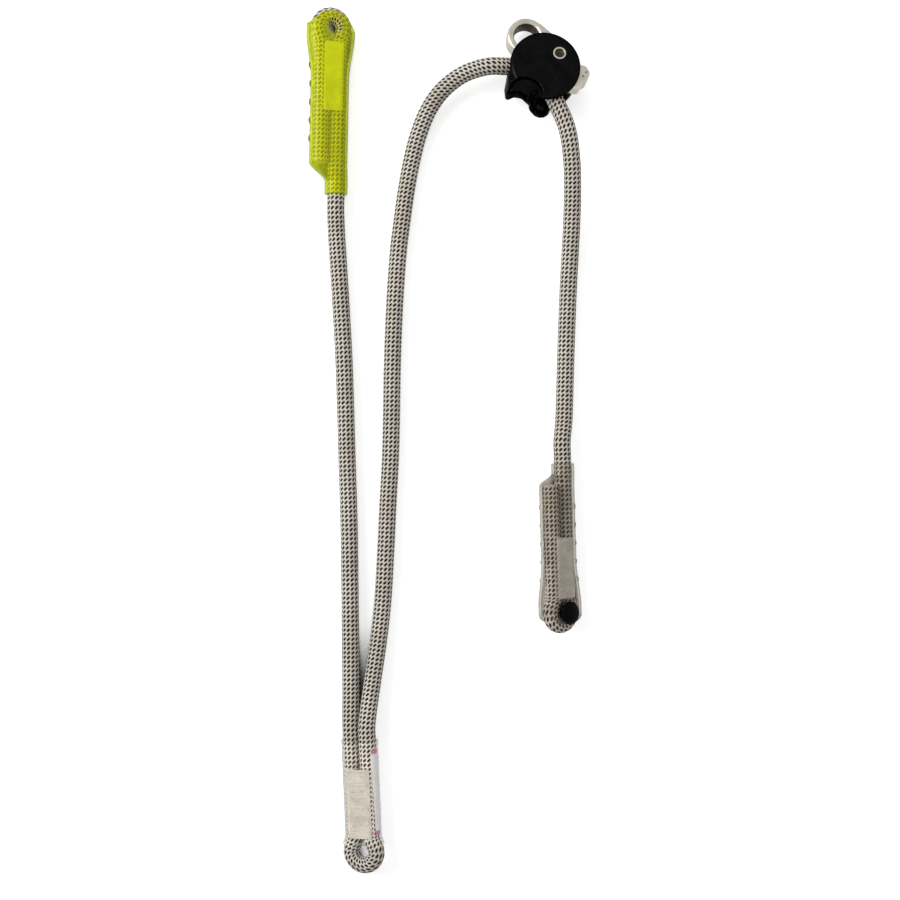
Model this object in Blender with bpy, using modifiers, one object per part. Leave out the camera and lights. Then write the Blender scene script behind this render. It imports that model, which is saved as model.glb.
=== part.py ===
"""Adjustable Y lanyard for climbing, laid out flat on a surface.

One kernmantle rope makes the whole lanyard: it starts in a sewn eye in a flared sleeve, runs down as the
fixed arm, folds through the sewn harness eye, runs up as the adjustable arm, passes a cam rope adjuster
and ends in a second sewn eye, which a plug closes. Metres, +Z up, X and Y in the surface it lies on.
"""

import math

import bmesh
import bpy
from mathutils import Euler, Matrix, Vector

MM = 0.001

# Rope
ROPE_DIAMETER = 11.0 * MM
SEWN_DIAMETER = 10.2 * MM  # the thread squeezes the rope where two strands are sewn together
ROPE_RESOLUTION = 4  # twelve sides
LEG_STEP = 2.0 * ROPE_DIAMETER  # between the points of a free stretch
STRAIGHT_EXIT = 8.0 * MM  # how far a free stretch runs straight out of what holds it

# Clearances between pieces
GAP = 0.3 * MM
STITCH_WEB = 0.3 * MM  # thread that passes between the two strands

# Sewn eyes: the strands lie side by side, and open round the eye
STRAND_OFFSET = SEWN_DIAMETER / 2 + GAP + STITCH_WEB / 2  # from the middle of the eye to a strand's middle
END_EYE_RADIUS = 8.3 * MM  # to the rope's middle
HARNESS_EYE_RADIUS = 8.7 * MM
HARNESS_EYE_DIAMETER = 10.4 * MM  # of the rope, drawn tight round the eye
EYE_TAPER = 10.0 * MM  # length over which the strands close up behind the eye
STITCH_THICKNESS = 0.5 * MM  # of the thread above the strands
END_STITCH_WIDTH = 12.6 * MM
HARNESS_STITCH_WIDTH = 15.0 * MM
STITCH_START = 9.2 * MM  # from the middle of the eye
LONG_STITCH = 44.0 * MM
SHORT_STITCH = 38.5 * MM

# Sleeves
SLEEVE_WALL = 1.5 * MM
FLARE_START = 3.0 * MM  # behind the eye's middle
FLARE_LENGTH = 29.0 * MM
FLARE_EXTRA = 0.5 * MM
COLLAR_LENGTH = 7.5 * MM
COLLAR_SLACK = 0.1 * MM
STEP_LENGTH = 12.0 * MM  # from the full width down to the collar
SLEEVE_SIDES = 16
SLEEVE_TIP = [  # half of the outline of the sleeve's open end, over and under the eye
    (0.0 * MM, 9.7 * MM),
    (3.4 * MM, 9.4 * MM),
    (6.8 * MM, 8.2 * MM),
    (9.6 * MM, 6.2 * MM),
    (12.0 * MM, 4.0 * MM),
    (14.2 * MM, 2.2 * MM),
    (17.0 * MM, 1.6 * MM),
]
FIXED_TAIL = 85.4 * MM  # from the middle of the eye to the rope's cut end
STOP_TAIL = 80.4 * MM
WINDOW_HALF_WIDTH = 4.6 * MM
WINDOW_HALF_LENGTH = 5.4 * MM
WINDOW_SHIFT = (0.8 * MM, 0.8 * MM)  # towards the standing strand and the end
RIM_SHIFT = (1.0 * MM, 0.2 * MM)
RIM_HALF_WIDTH = 5.8 * MM
RIM_HALF_LENGTH = 7.3 * MM
RIM_HEIGHT = 0.8 * MM
RIB_COUNT = 5
RIB_PITCH = 11.6 * MM
RIB_HEIGHT = 1.6 * MM
RIB_HALF_LENGTH = 1.9 * MM
RIB_RADIUS = 6.6 * MM
FIXED_FIRST_RIB = 23.0 * MM  # from the middle of the eye
STOP_FIRST_RIB = 20.5 * MM

# Clear sleeve and label of the harness eye
CLEAR_WALL = 0.8 * MM
CLEAR_SLEEVE_START = 5.5 * MM
CLEAR_SLEEVE_LENGTH = 65.5 * MM
LABEL_THICKNESS = 0.4 * MM
LABEL_START = 11.5 * MM
LABEL_LENGTH = 54.0 * MM
LABEL_FIRST_ANGLE = 122.0
LABEL_LAST_ANGLE = 242.0

# Plug of the stop end
PLUG_HEAD_RADIUS = 7.3 * MM
PLUG_CROWN = 2.6 * MM
PLUG_EDGE = 0.9 * MM
PLUG_REAR_RADIUS = 6.6 * MM
PLUG_REAR_CROWN = 1.6 * MM

# Rope adjuster, about its pivot: X to the right, Y up, Z to the front
ADJUSTER_HALF = ROPE_DIAMETER / 2 + GAP  # half the space between the plates' cam
PLATE_FACE = ADJUSTER_HALF + GAP
FRONT_PLATE_THICKNESS = 4.0 * MM
REAR_PLATE_THICKNESS = 3.0 * MM
PLATE_CENTRE = (-9.0 * MM, -7.6 * MM)
PLATE_RADIUS = 22.4 * MM
PLATE_EDGE_WIDTH = 3.4 * MM
PLATE_EDGE_DEPTH = 2.6 * MM
REAR_EDGE = 0.5 * MM
BEND_CENTRE = (-23.8 * MM, -23.7 * MM)  # the rope turns about this point
BEND_RADIUS = 18.6 * MM  # to the rope's middle
BEND_ANGLE = 68.0
ROPE_LEAD_IN = 10.2 * MM
ROPE_LEAD_OUT = 16.0 * MM
SADDLE_HEIGHT = 2.5 * MM  # how far the friction block's lips stay short of the rope's middle
LOBE_CENTRE = (-10.6 * MM, -29.5 * MM)
LOBE_RADIUS = 6.4 * MM
LOBE_TOP = -2.6 * MM
SCOOP_CENTRE = (-22.6 * MM, -27.3 * MM)
SCOOP_RADIUS = 11.0 * MM
SCOOP_CHAMFER = 0.8 * MM
SCOOP_FLOOR = 1.2 * MM
SCOOP_WALL_FOOT = 7.0 * MM
EYE_CENTRE = (-19.7 * MM, 13.5 * MM)
EYE_OUTER_RADIUS = 12.6 * MM
EYE_BORE_RADIUS = 8.1 * MM
EYE_FILLET = 1.3 * MM
CLOSING_ANGLE = 16.0  # degrees that the cam turns until it pinches the rope
CAM_BOSS_RADIUS = 6.1 * MM
RIVET_RADIUS = 2.6 * MM
RIVET_HEAD_RADIUS = 4.2 * MM
RIVET_HEAD_HEIGHT = 1.8 * MM
REAR_HEAD_HEIGHT = 1.2 * MM
RIVET_RECESS_RADIUS = 3.1 * MM
RIVET_RECESS_DEPTH = 1.1 * MM
BUSHING_WALL = 0.8 * MM
LOWER_RIVET_RADIUS = 1.9 * MM
LOWER_HEAD_RADIUS = 3.3 * MM
LOWER_HEAD_HEIGHT = 1.0 * MM
LOWER_HEAD_SINK = 0.6 * MM
DOWEL_CENTRE = (-27.6 * MM, -13.4 * MM)
DOWEL_RADIUS = 1.2 * MM
DOWEL_DEPTH = 2.0 * MM  # into the front plate
SLOT_WIDTH = 1.0 * MM
SLOT_DEPTH = 3.0 * MM
PIN_HOLE_RADIUS = 0.7 * MM

# Where the pieces lie, in the drawing of the whole lanyard, with a tilt about the surface
ORIGIN_SHIFT = (0.034 * MM, -1.605 * MM)  # brings the middle of what isn't cord to X 0, Y 0
FIXED_EYE_PLACE = (-74.6 * MM, 264.1 * MM)
FIXED_EYE_TURN = -1.2
FIXED_EYE_ROLL = 18.0
HARNESS_EYE_PLACE = (-53.5 * MM, -260.4 * MM)
HARNESS_EYE_TURN = 182.4
HARNESS_EYE_ROLL = 22.0
STOP_EYE_PLACE = (71.4 * MM, -107.6 * MM)
STOP_EYE_TURN = 181.6
STOP_EYE_ROLL = -38.0
ADJUSTER_PLACE = (69.5 * MM, 243.7 * MM)
ADJUSTER_TILT_X = -12.5
ADJUSTER_TILT_Y = 5.5
REST = 0.05 * MM  # air under the lowest corner of each piece

# Free stretches: points in millimetres that the rope's middle passes
FIXED_LEG_ROUTE = [
    (-71.4, 136.0, 6.6),
    (-70.1, 114.0, 5.8),
    (-68.5, 88.0, 5.6),
    (-66.6, 53.0, 5.6),
    (-65.5, 21.0, 5.6),
    (-64.6, -11.0, 5.6),
    (-63.4, -49.0, 5.6),
    (-62.8, -88.0, 5.6),
    (-62.4, -126.0, 5.7),
    (-62.1, -158.0, 6.1),
]
ADJUSTABLE_LEG_ROUTE = [
    (-50.6, -170.0, 10.7),
    (-48.1, -152.0, 8.5),
    (-44.4, -126.0, 6.5),
    (-41.6, -100.0, 5.8),
    (-39.8, -68.5, 5.6),
    (-38.3, -36.5, 5.6),
    (-36.9, -11.0, 5.6),
    (-36.2, 15.0, 5.6),
    (-35.7, 47.0, 5.6),
    (-34.9, 72.0, 5.6),
    (-33.6, 98.0, 5.6),
    (-31.7, 123.5, 5.6),
    (-29.3, 143.0, 5.6),
    (-26.9, 160.5, 5.6),
    (-23.3, 180.0, 5.8),
    (-18.8, 197.5, 6.6),
    (-12.0, 213.5, 8.4),
    (-3.2, 225.0, 10.9),
    (8.6, 233.6, 13.8),
    (19.8, 237.6, 15.6),
]
TAIL_ROUTE = [
    (76.0, 195.5, 20.2),
    (78.4, 179.0, 17.6),
    (79.2, 161.0, 13.4),
    (79.0, 142.0, 9.5),
    (78.2, 122.0, 6.8),
    (77.0, 98.0, 5.7),
    (75.9, 69.0, 5.6),
    (75.0, 40.0, 5.7),
    (74.1, 14.0, 7.0),
]


def clear_scene():
    for found in list(bpy.data.objects):
        bpy.data.objects.remove(found, do_unlink=True)


def new_collection(name):
    made = bpy.data.collections.new(name)
    bpy.context.scene.collection.children.link(made)
    return made


def material(name, colour, roughness, metallic=0.0, alpha=1.0):
    made = bpy.data.materials.new(name)
    made.use_nodes = True
    shader = made.node_tree.nodes["Principled BSDF"]
    shader.inputs["Base Color"].default_value = (*colour, 1.0)
    shader.inputs["Roughness"].default_value = roughness
    shader.inputs["Metallic"].default_value = metallic
    shader.inputs["Alpha"].default_value = alpha
    made.diffuse_color = (*colour, alpha)
    return made


def add_object(name, data, parent, paint=None):
    """Puts new data in the lanyard's collection, under the frame that places it."""
    made = bpy.data.objects.new(name, data)
    PARTS.objects.link(made)
    made.parent = parent
    if paint is not None:
        data.materials.append(paint)
    return made


def as_cutter(cutter):
    """Takes an object out of the model and keeps it for cuts and joins."""
    PARTS.objects.unlink(cutter)
    CUTTERS.objects.link(cutter)
    cutter.hide_render = True
    cutter.display_type = "WIRE"
    return cutter


def combine(target, tool, operation="DIFFERENCE"):
    step = target.modifiers.new(f"{operation.lower()} {tool.name}", "BOOLEAN")
    step.operation = operation
    step.solver = "EXACT"
    step.object = as_cutter(tool)


def smooth(made, angle=35.0):
    made.data.shade_smooth()
    made.data.set_sharp_from_angle(angle=math.radians(angle))
    return made


def crisp(made):
    """Shades a cut piece smooth, with its real edges kept hard."""
    made.data.shade_smooth()
    split = made.modifiers.new("hard edges", "EDGE_SPLIT")
    split.split_angle = math.radians(35)
    return made


def frame(name, place, height, rotation, parent):
    made = bpy.data.objects.new(name, None)
    PARTS.objects.link(made)
    made.location = (place[0], place[1], height)
    made.rotation_euler = rotation
    made.parent = parent
    return made


def degrees(x, y, z):
    return Euler((math.radians(x), math.radians(y), math.radians(z)), "XYZ")


def rest_height(rotation, points):
    """The height that brings the lowest of a frame's points down to the surface."""
    turn = rotation.to_matrix()
    return REST - min((turn @ Vector(point)).z for point in points)


def as_mesh(made):
    """Swaps a curve object for the mesh that it shows, with its caps welded."""
    graph = bpy.context.evaluated_depsgraph_get()
    graph.update()
    mesh = bpy.data.meshes.new_from_object(made.evaluated_get(graph))
    body = bmesh.new()
    body.from_mesh(mesh)
    bmesh.ops.remove_doubles(body, verts=body.verts, dist=0.01 * MM)
    bmesh.ops.recalc_face_normals(body, faces=body.faces)
    body.to_mesh(mesh)
    body.free()
    name, parent = made.name, made.parent
    owners = list(made.users_collection)
    place = made.matrix_basis.copy()
    bpy.data.objects.remove(made, do_unlink=True)
    swapped = bpy.data.objects.new(name, mesh)
    for owner in owners:
        owner.objects.link(swapped)
    swapped.parent = parent
    swapped.matrix_basis = place
    return swapped


def arc(centre, radius, first, last, steps):
    """Points on a circle from the first to the last angle, in degrees."""
    angles = [math.radians(first + (last - first) * k / steps) for k in range(steps + 1)]
    return [(centre[0] + radius * math.cos(a), centre[1] + radius * math.sin(a)) for a in angles]


def rounded(corners, steps=4):
    """An outline through (x, y, radius) corners, each turned on its own radius."""
    points = []
    for k, (x, y, radius) in enumerate(corners):
        corner = Vector((x, y))
        before = Vector(corners[k - 1][:2]) - corner
        after = Vector(corners[(k + 1) % len(corners)][:2]) - corner
        if radius == 0:
            points.append(tuple(corner))
            continue
        half = before.angle(after) / 2
        reach = min(radius / math.tan(half), 0.48 * before.length, 0.48 * after.length)
        radius = reach * math.tan(half)
        middle = corner + (before.normalized() + after.normalized()).normalized() * radius / math.sin(half)
        start = corner + before.normalized() * reach - middle
        turn = start.angle_signed(corner + after.normalized() * reach - middle)
        for step in range(steps + 1):
            spoke = start.copy()
            spoke.rotate(Matrix.Rotation(-turn * step / steps, 2))
            points.append(tuple(middle + spoke))
    return points


def slab(name, outline, low, high, parent, paint=None, edge=0.0):
    """A flat outline between two heights, with its edges rounded by edge."""
    curve = bpy.data.curves.new(name, "CURVE")
    curve.dimensions = "2D"
    curve.fill_mode = "BOTH"
    curve.extrude = (high - low) / 2 - edge
    curve.bevel_depth = edge
    curve.bevel_resolution = 1 if edge > 1 * MM else 0
    curve.offset = -edge
    spline = curve.splines.new("POLY")
    spline.points.add(len(outline) - 1)
    for point, (x, y) in zip(spline.points, outline):
        point.co = (x, y, 0, 1)
    spline.use_cyclic_u = True
    made = add_object(name, curve, parent, paint)
    made.location.z = (low + high) / 2
    return as_mesh(made)


def tube(name, points, radii, parent, paint=None):
    """A round bar through the points, with its own radius at each one."""
    curve = bpy.data.curves.new(name, "CURVE")
    curve.dimensions = "3D"
    curve.bevel_depth = max(radii)
    curve.bevel_resolution = ROPE_RESOLUTION
    curve.use_fill_caps = True
    spline = curve.splines.new("POLY")
    spline.points.add(len(points) - 1)
    for place, point, radius in zip(spline.points, points, radii):
        place.co = (*point, 1)
        place.radius = radius / max(radii)
    spline.use_smooth = True
    return add_object(name, curve, parent, paint)


def turned(name, profile, parent, paint=None, centre=(0, 0), steps=32):
    """A turned piece: the profile runs down its outer side, from the axis to the axis."""
    mesh = bpy.data.meshes.new(name)
    mesh.from_pydata([(x, 0, z) for x, z in profile], [(k, k + 1) for k in range(len(profile) - 1)], [])
    made = add_object(name, mesh, parent, paint)
    made.location = (*centre, 0)
    screw = made.modifiers.new("turn", "SCREW")
    screw.axis = "Z"
    screw.steps = steps
    screw.render_steps = steps
    screw.use_merge_vertices = True
    screw.merge_threshold = 0.001 * MM
    return smooth(as_mesh(made))


def hole(name, centre, radius, low, high, parent, steps=32):
    """A cutter for a round hole between two heights."""
    return turned(name, [(0, high), (radius, high), (radius, low), (0, low)], parent, None, centre, steps)


def quarter(start, end, steps=4):
    """Points of a quarter ellipse from a level run at start to an upright one at end."""
    wide, deep = end[0] - start[0], end[1] - start[1]
    turns = [math.radians(90 * k / steps) for k in range(steps + 1)]
    return [(start[0] + wide * math.sin(t), start[1] + deep * (1 - math.cos(t))) for t in turns]


def loft(name, rings, parent, paint=None):
    """A closed skin over rings of the same number of points."""
    body = bmesh.new()
    rows = [[body.verts.new(point) for point in ring] for ring in rings]
    for row, following in zip(rows, rows[1:]):
        for k in range(len(row)):
            body.faces.new((row[k - 1], row[k], following[k], following[k - 1]))
    body.faces.new(rows[0])
    body.faces.new(rows[-1])
    bmesh.ops.recalc_face_normals(body, faces=body.faces)
    mesh = bpy.data.meshes.new(name)
    body.to_mesh(mesh)
    body.free()
    return add_object(name, mesh, parent, paint)


def ease(share):
    share = min(max(share, 0.0), 1.0)
    return share * share * (3 - 2 * share)


# Sewn eyes


def eye_offset(y, eye_radius):
    """How far a strand's middle lies from the middle line, behind the eye."""
    return STRAND_OFFSET + (eye_radius - STRAND_OFFSET) * ease((y + EYE_TAPER) / EYE_TAPER)


def eye_line(eye_radius, first_end, last_end, side):
    """The middle of the rope from one end behind the eye, round the eye, to the other end."""
    taper = [-EYE_TAPER * k / 4 for k in range(4, 0, -1)]
    out = [(side * STRAND_OFFSET, -first_end, 0)]
    out += [(side * eye_offset(y, eye_radius), y, 0) for y in taper]
    loop = arc((0, 0), eye_radius, 0, 180, 12)
    out += [(side * x, y, 0) for x, y in loop]
    out += [(-side * eye_offset(y, eye_radius), y, 0) for y in reversed(taper)]
    out.append((-side * STRAND_OFFSET, -last_end, 0))
    return out


def collar_end(tail_length):
    return tail_length + STEP_LENGTH + COLLAR_LENGTH


def end_eye_rope(name, tail_length, side, parent):
    """The rope of an end eye: in at the collar, round the eye and back to its cut end."""
    line = eye_line(END_EYE_RADIUS, collar_end(tail_length), tail_length, side)
    inside = (side * STRAND_OFFSET, -tail_length, 0)
    line.insert(1, inside)
    radii = [ROPE_DIAMETER / 2] + [SEWN_DIAMETER / 2] * (len(line) - 1)
    return tube(name, line, radii, parent, PAINT["rope"])


def harness_eye_rope(parent):
    """The rope through the harness eye, full round at the eye and where both strands leave the sleeve."""
    end = CLEAR_SLEEVE_START + CLEAR_SLEEVE_LENGTH
    line = eye_line(HARNESS_EYE_RADIUS, end, end, 1)
    sewn = -LABEL_START - LABEL_LENGTH - GAP
    line.insert(1, (STRAND_OFFSET, sewn, 0))
    line.insert(-1, (-STRAND_OFFSET, sewn, 0))
    radii = [SEWN_DIAMETER / 2] * len(line)
    for k, (_, y, _) in enumerate(line):
        if y < sewn:
            radii[k] = ROPE_DIAMETER / 2
        elif y > -EYE_TAPER / 2:
            radii[k] = HARNESS_EYE_DIAMETER / 2
    return tube("harness_eye_rope", line, radii, parent, PAINT["rope"])


def stitching(name, width, length, parent):
    """Thread over and under both strands, joined by the thread between them."""
    reach = SEWN_DIAMETER / 2 + GAP
    first = math.acos((STRAND_OFFSET - STITCH_WEB / 2) / reach)
    last = math.acos((STRAND_OFFSET - width / 2) / reach)
    bed = [(reach, first + (last - first) * k / 8) for k in range(9)]
    turn = last - math.pi / 2
    top = [(reach + STITCH_THICKNESS * (1 - share / 2), math.pi / 2 + turn * share) for share in (1, 0.5, 0)]
    edge = [(STRAND_OFFSET - radius * math.cos(a), radius * math.sin(a)) for radius, a in bed + top]
    section = edge + [(-x, z) for x, z in reversed(edge)]
    section += [(-x, -z) for x, z in edge] + [(x, -z) for x, z in reversed(edge)]
    made = slab(name, without_repeats(section), -length / 2, length / 2, parent, PAINT["thread"])
    made.rotation_euler = (math.radians(90), 0, 0)
    made.location = (0, -STITCH_START - length / 2, 0)
    return smooth(made)


def without_repeats(points):
    kept = []
    for point in points:
        if not kept or (Vector(point) - Vector(kept[-1])).length > 0.001 * MM:
            kept.append(point)
    if (Vector(kept[0]) - Vector(kept[-1])).length <= 0.001 * MM:
        kept.pop()
    return kept


# Sleeves


def stadium(y, left, right, half):
    """A ring of points round a flat oval at y, from its left to its right edge."""
    middle = (left + right) / 2
    shift = (right - left) / 2 - half
    corner = half / math.cos(math.pi / SLEEVE_SIDES)
    ring = []
    for k in range(SLEEVE_SIDES):
        turn = 2 * math.pi * (k + 0.5) / SLEEVE_SIDES
        across = math.copysign(shift, math.cos(turn)) + corner * math.cos(turn)
        ring.append((middle + across, y, corner * math.sin(turn)))
    return ring


def cavity_half():
    """Half the space in a sleeve, front to back: a strand with the stitching on it."""
    return SEWN_DIAMETER / 2 + STITCH_THICKNESS + 2 * GAP


def rest_half(wall):
    """Half a sleeve's thickness to the corners of its section."""
    return (cavity_half() + wall) / math.cos(math.pi / SLEEVE_SIDES)


def strand_reach():
    """From the middle line to the space's side, past a strand."""
    return STRAND_OFFSET + SEWN_DIAMETER / 2 + GAP


def flare_reach():
    """From the middle line to the space's side, past the eye."""
    return END_EYE_RADIUS + SEWN_DIAMETER / 2 + GAP + FLARE_EXTRA


def half_width(y, wall):
    """Half the width of an end sleeve behind the eye, or of the space in it where wall is nothing."""
    share = ease((-y - FLARE_START) / FLARE_LENGTH)
    return flare_reach() + (strand_reach() - flare_reach()) * share + wall


def sleeve_rings(tail_length, side, wall, beyond):
    """Rings of an end sleeve, or of the space in it where wall is nothing."""
    half = cavity_half() + wall
    body = strand_reach() + wall
    flare = flare_reach() + wall
    rings = [stadium(SLEEVE_TIP[0][1] + 1 * MM + beyond, -flare, flare, half)]
    for k in range(6):
        y = -FLARE_START - FLARE_LENGTH * k / 5
        rings.append(stadium(y, -half_width(y, wall), half_width(y, wall), half))
    collar_half = ROPE_DIAMETER / 2 + GAP + wall
    inside = STRAND_OFFSET - collar_half - COLLAR_SLACK
    outside = STRAND_OFFSET + collar_half + COLLAR_SLACK
    for k in range(6):
        share = ease(k / 5)
        y = -tail_length - GAP - STEP_LENGTH * k / 5
        rings.append(stadium(y, -body + (inside + body) * share, body + (outside - body) * share,
                             half + (collar_half - half) * share))
    rings.append(stadium(-collar_end(tail_length) - beyond, inside, outside, collar_half))
    return [[(side * x, y, z) for x, y, z in ring] for ring in rings]


def oval_bar(name, half_width, half_length, shift, side, half_depth, parent):
    """An oval bar across a sleeve, for its window and the rim round it."""
    outline = [(half_width * math.cos(t), half_length * math.sin(t))
               for t in [2 * math.pi * k / 24 for k in range(24)]]
    made = slab(name, outline, -half_depth, half_depth, parent)
    made.location.x = side * shift[0]
    made.location.y = shift[1]
    return made


def ribs(name, first, sides, parent):
    """Grip ribs that wrap round the sides of a sleeve, as one set of separate lumps."""
    body = bmesh.new()
    for side in sides:
        for k in range(RIB_COUNT):
            y = -first - RIB_PITCH * k
            across = side * (half_width(y, SLEEVE_WALL) + RIB_HEIGHT - RIB_RADIUS)
            place = Matrix.Translation((across, y, 0)) @ Matrix.Rotation(math.radians(90), 4, "X")
            shape = Matrix.Diagonal((RIB_RADIUS, RIB_RADIUS, RIB_HALF_LENGTH, 1))
            bmesh.ops.create_uvsphere(body, u_segments=12, v_segments=4, radius=1, matrix=place @ shape)
    mesh = bpy.data.meshes.new(name)
    body.to_mesh(mesh)
    body.free()
    return add_object(name, mesh, parent)


def end_sleeve(name, tail_length, first_rib, sides, side, parent, paint):
    """A moulded sleeve: flared over the eye, stepped down to a collar on the standing strand."""
    made = loft(name, sleeve_rings(tail_length, side, SLEEVE_WALL, 0), parent, paint)
    half = cavity_half() + SLEEVE_WALL
    rim = oval_bar(f"{name} rim", RIM_HALF_WIDTH, RIM_HALF_LENGTH, RIM_SHIFT, side, half + RIM_HEIGHT, parent)
    combine(made, rim, "UNION")
    combine(made, ribs(f"{name} ribs", first_rib, sides, parent), "UNION")
    combine(made, loft(f"{name} space", sleeve_rings(tail_length, side, 0, 2 * MM), parent))
    wide, high = 24 * MM, 24 * MM
    tip = [(-x, y) for x, y in reversed(SLEEVE_TIP[1:])] + SLEEVE_TIP
    beyond = [(-wide, SLEEVE_TIP[-1][1])] + tip + [(wide, SLEEVE_TIP[-1][1]), (wide, high), (-wide, high)]
    combine(made, slab(f"{name} end", beyond, -2 * half, 2 * half, parent))
    window = oval_bar(f"{name} window", WINDOW_HALF_WIDTH, WINDOW_HALF_LENGTH, WINDOW_SHIFT, side, 2 * half,
                      parent)
    combine(made, window)
    return crisp(made)


def clear_sleeve(parent):
    """The thin clear sleeve of the harness eye, open at both ends, with room for the label."""
    half = cavity_half()
    right = strand_reach() + GAP
    left = -strand_reach() - LABEL_THICKNESS - GAP

    def rings(wall, beyond):
        end = CLEAR_SLEEVE_START + CLEAR_SLEEVE_LENGTH
        made = []
        for k in range(5):
            y = -CLEAR_SLEEVE_START - (EYE_TAPER - CLEAR_SLEEVE_START) * k / 4
            strand = eye_offset(y, HARNESS_EYE_RADIUS) + ROPE_DIAMETER / 2 + 3 * GAP * (1 - k / 4)
            made.append((y + (0 if k else beyond), strand))
        made += [(-EYE_TAPER - 2 * MM, 0), (-end + 6 * MM, 0)]
        made.append((-end - beyond, STRAND_OFFSET + ROPE_DIAMETER / 2 + GAP))
        return [stadium(y, min(left, -strand) - wall, max(right, strand) + wall, half + wall)
                for y, strand in made]

    made = loft("harness_eye_sleeve", rings(CLEAR_WALL, 0), parent, PAINT["clear"])
    combine(made, loft("harness_eye_sleeve space", rings(0, 2 * MM), parent))
    return crisp(made)


def label(parent):
    """A blank printed strip round the outer side of one strand."""
    inner = SEWN_DIAMETER / 2 + GAP
    outer = inner + LABEL_THICKNESS
    outline = arc((0, 0), outer, LABEL_FIRST_ANGLE, LABEL_LAST_ANGLE, 8)
    outline += arc((0, 0), inner, LABEL_LAST_ANGLE, LABEL_FIRST_ANGLE, 8)
    made = slab("harness_eye_label", outline, -LABEL_LENGTH / 2, LABEL_LENGTH / 2, parent, PAINT["label"])
    made.rotation_euler = (math.radians(90), 0, 0)
    made.location = (-STRAND_OFFSET, -LABEL_START - LABEL_LENGTH / 2, 0)
    return smooth(made)


def plug(parent):
    """A push-in plug with a domed head on each face of the sleeve."""
    seat = cavity_half() + SLEEVE_WALL + RIM_HEIGHT + GAP
    shank = END_EYE_RADIUS - SEWN_DIAMETER / 2 - GAP
    edge = seat + PLUG_EDGE
    profile = quarter((0, edge + PLUG_CROWN), (PLUG_HEAD_RADIUS, edge), 5)
    profile += [(PLUG_HEAD_RADIUS, seat), (shank, seat), (shank, -seat), (PLUG_REAR_RADIUS, -seat)]
    profile += reversed(quarter((0, -edge - PLUG_REAR_CROWN), (PLUG_REAR_RADIUS, -edge), 3))
    return turned("stop_end_plug", profile, parent, PAINT["rubber"], steps=24)


# Rope adjuster


def rope_path(extra=0.0):
    """The rope's middle through the adjuster: level in, round the friction block and down out."""
    top = BEND_CENTRE[1] + BEND_RADIUS
    path = [(BEND_CENTRE[0] - ROPE_LEAD_IN - extra, top, 0)]
    path += [(x, y, 0) for x, y in arc(BEND_CENTRE, BEND_RADIUS, 90, 90 - BEND_ANGLE, 9)]
    leave = rope_out()
    path.append(tuple(Vector(path[-1]) + leave * (ROPE_LEAD_OUT + extra)))
    return path


def rope_out():
    """The direction in which the rope leaves the adjuster."""
    return Vector((math.cos(math.radians(BEND_ANGLE)), -math.sin(math.radians(BEND_ANGLE)), 0))


def rope_space(name, parent, turn=0.0):
    """The rope's space in the adjuster, turned about the pivot by an angle."""
    path = rope_path(extra=20 * MM)
    made = tube(name, path, [ROPE_DIAMETER / 2 + GAP] * len(path), parent)
    made.rotation_euler = (0, 0, math.radians(turn))
    return as_mesh(made)


def circles_meet(first, first_radius, second, second_radius):
    """The angles, seen from each of two circles, of the crossing on the right of their line."""
    line = Vector(second) - Vector(first)
    along = (line.length_squared + first_radius ** 2 - second_radius ** 2) / (2 * line.length)
    across = math.sqrt(first_radius ** 2 - along ** 2)
    ahead = line.normalized()
    cross = Vector(first) + ahead * along + Vector((-ahead.y, ahead.x)) * across
    seen = []
    for centre in (first, second):
        spoke = cross - Vector(centre)
        seen.append(math.degrees(math.atan2(spoke.y, spoke.x)))
    return seen


def horn_corners():
    """The lower left of the black body: the thumb horn and the hollow beside it."""
    return [
        (-33.4 * MM, -17.5 * MM, 6.0 * MM),
        (-32.8 * MM, -25.0 * MM, 1.6 * MM),
        (-27.4 * MM, -22.3 * MM, 3.5 * MM),
        (-22.6 * MM, -23.0 * MM, 4.0 * MM),
        (-18.0 * MM, -27.6 * MM, 1.5 * MM),
    ]


def friction_block(parent):
    """The fixed block that the rope bends round, with the thumb scoop and the lower lobe."""
    lip = BEND_RADIUS - SADDLE_HEIGHT
    corners = horn_corners()
    corners += [(x, y, 0) for x, y in arc(LOBE_CENTRE, LOBE_RADIUS, 190, 385, 14)]
    corners += [(x, y, 0) for x, y in arc(BEND_CENTRE, lip, -14, 90, 9)]
    corners.append((-31.0 * MM, BEND_CENTRE[1] + lip, 1.2 * MM))
    made = slab("adjuster_friction_block", rounded(corners), -ADJUSTER_HALF, ADJUSTER_HALF, parent,
                PAINT["black"])
    combine(made, rope_space("groove", parent))
    combine(made, scoop("block scoop", parent))
    shoulder = [(0, 12 * MM), (9.0 * MM, 12 * MM), (8.2 * MM, 4 * MM), (7.2 * MM, LOBE_TOP + 2 * MM)]
    shoulder += [(6.0 * MM, LOBE_TOP + 0.7 * MM), (4.6 * MM, LOBE_TOP), (0, LOBE_TOP)]
    combine(made, turned("lobe shoulder", shoulder, parent, None, LOBE_CENTRE, 24))
    sunk = LOBE_TOP - LOWER_HEAD_SINK - LOWER_HEAD_HEIGHT - GAP
    combine(made, hole("lobe seat", LOBE_CENTRE, LOWER_HEAD_RADIUS + GAP, sunk, PLATE_FACE, parent, 20))
    combine(made, hole("lobe hole", LOBE_CENTRE, LOWER_RIVET_RADIUS + GAP, -9 * MM, 9 * MM, parent, 16))
    combine(made, hole("block dowel hole", DOWEL_CENTRE, DOWEL_RADIUS + GAP, -9 * MM, 9 * MM, parent, 12))
    return crisp(made)


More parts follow.
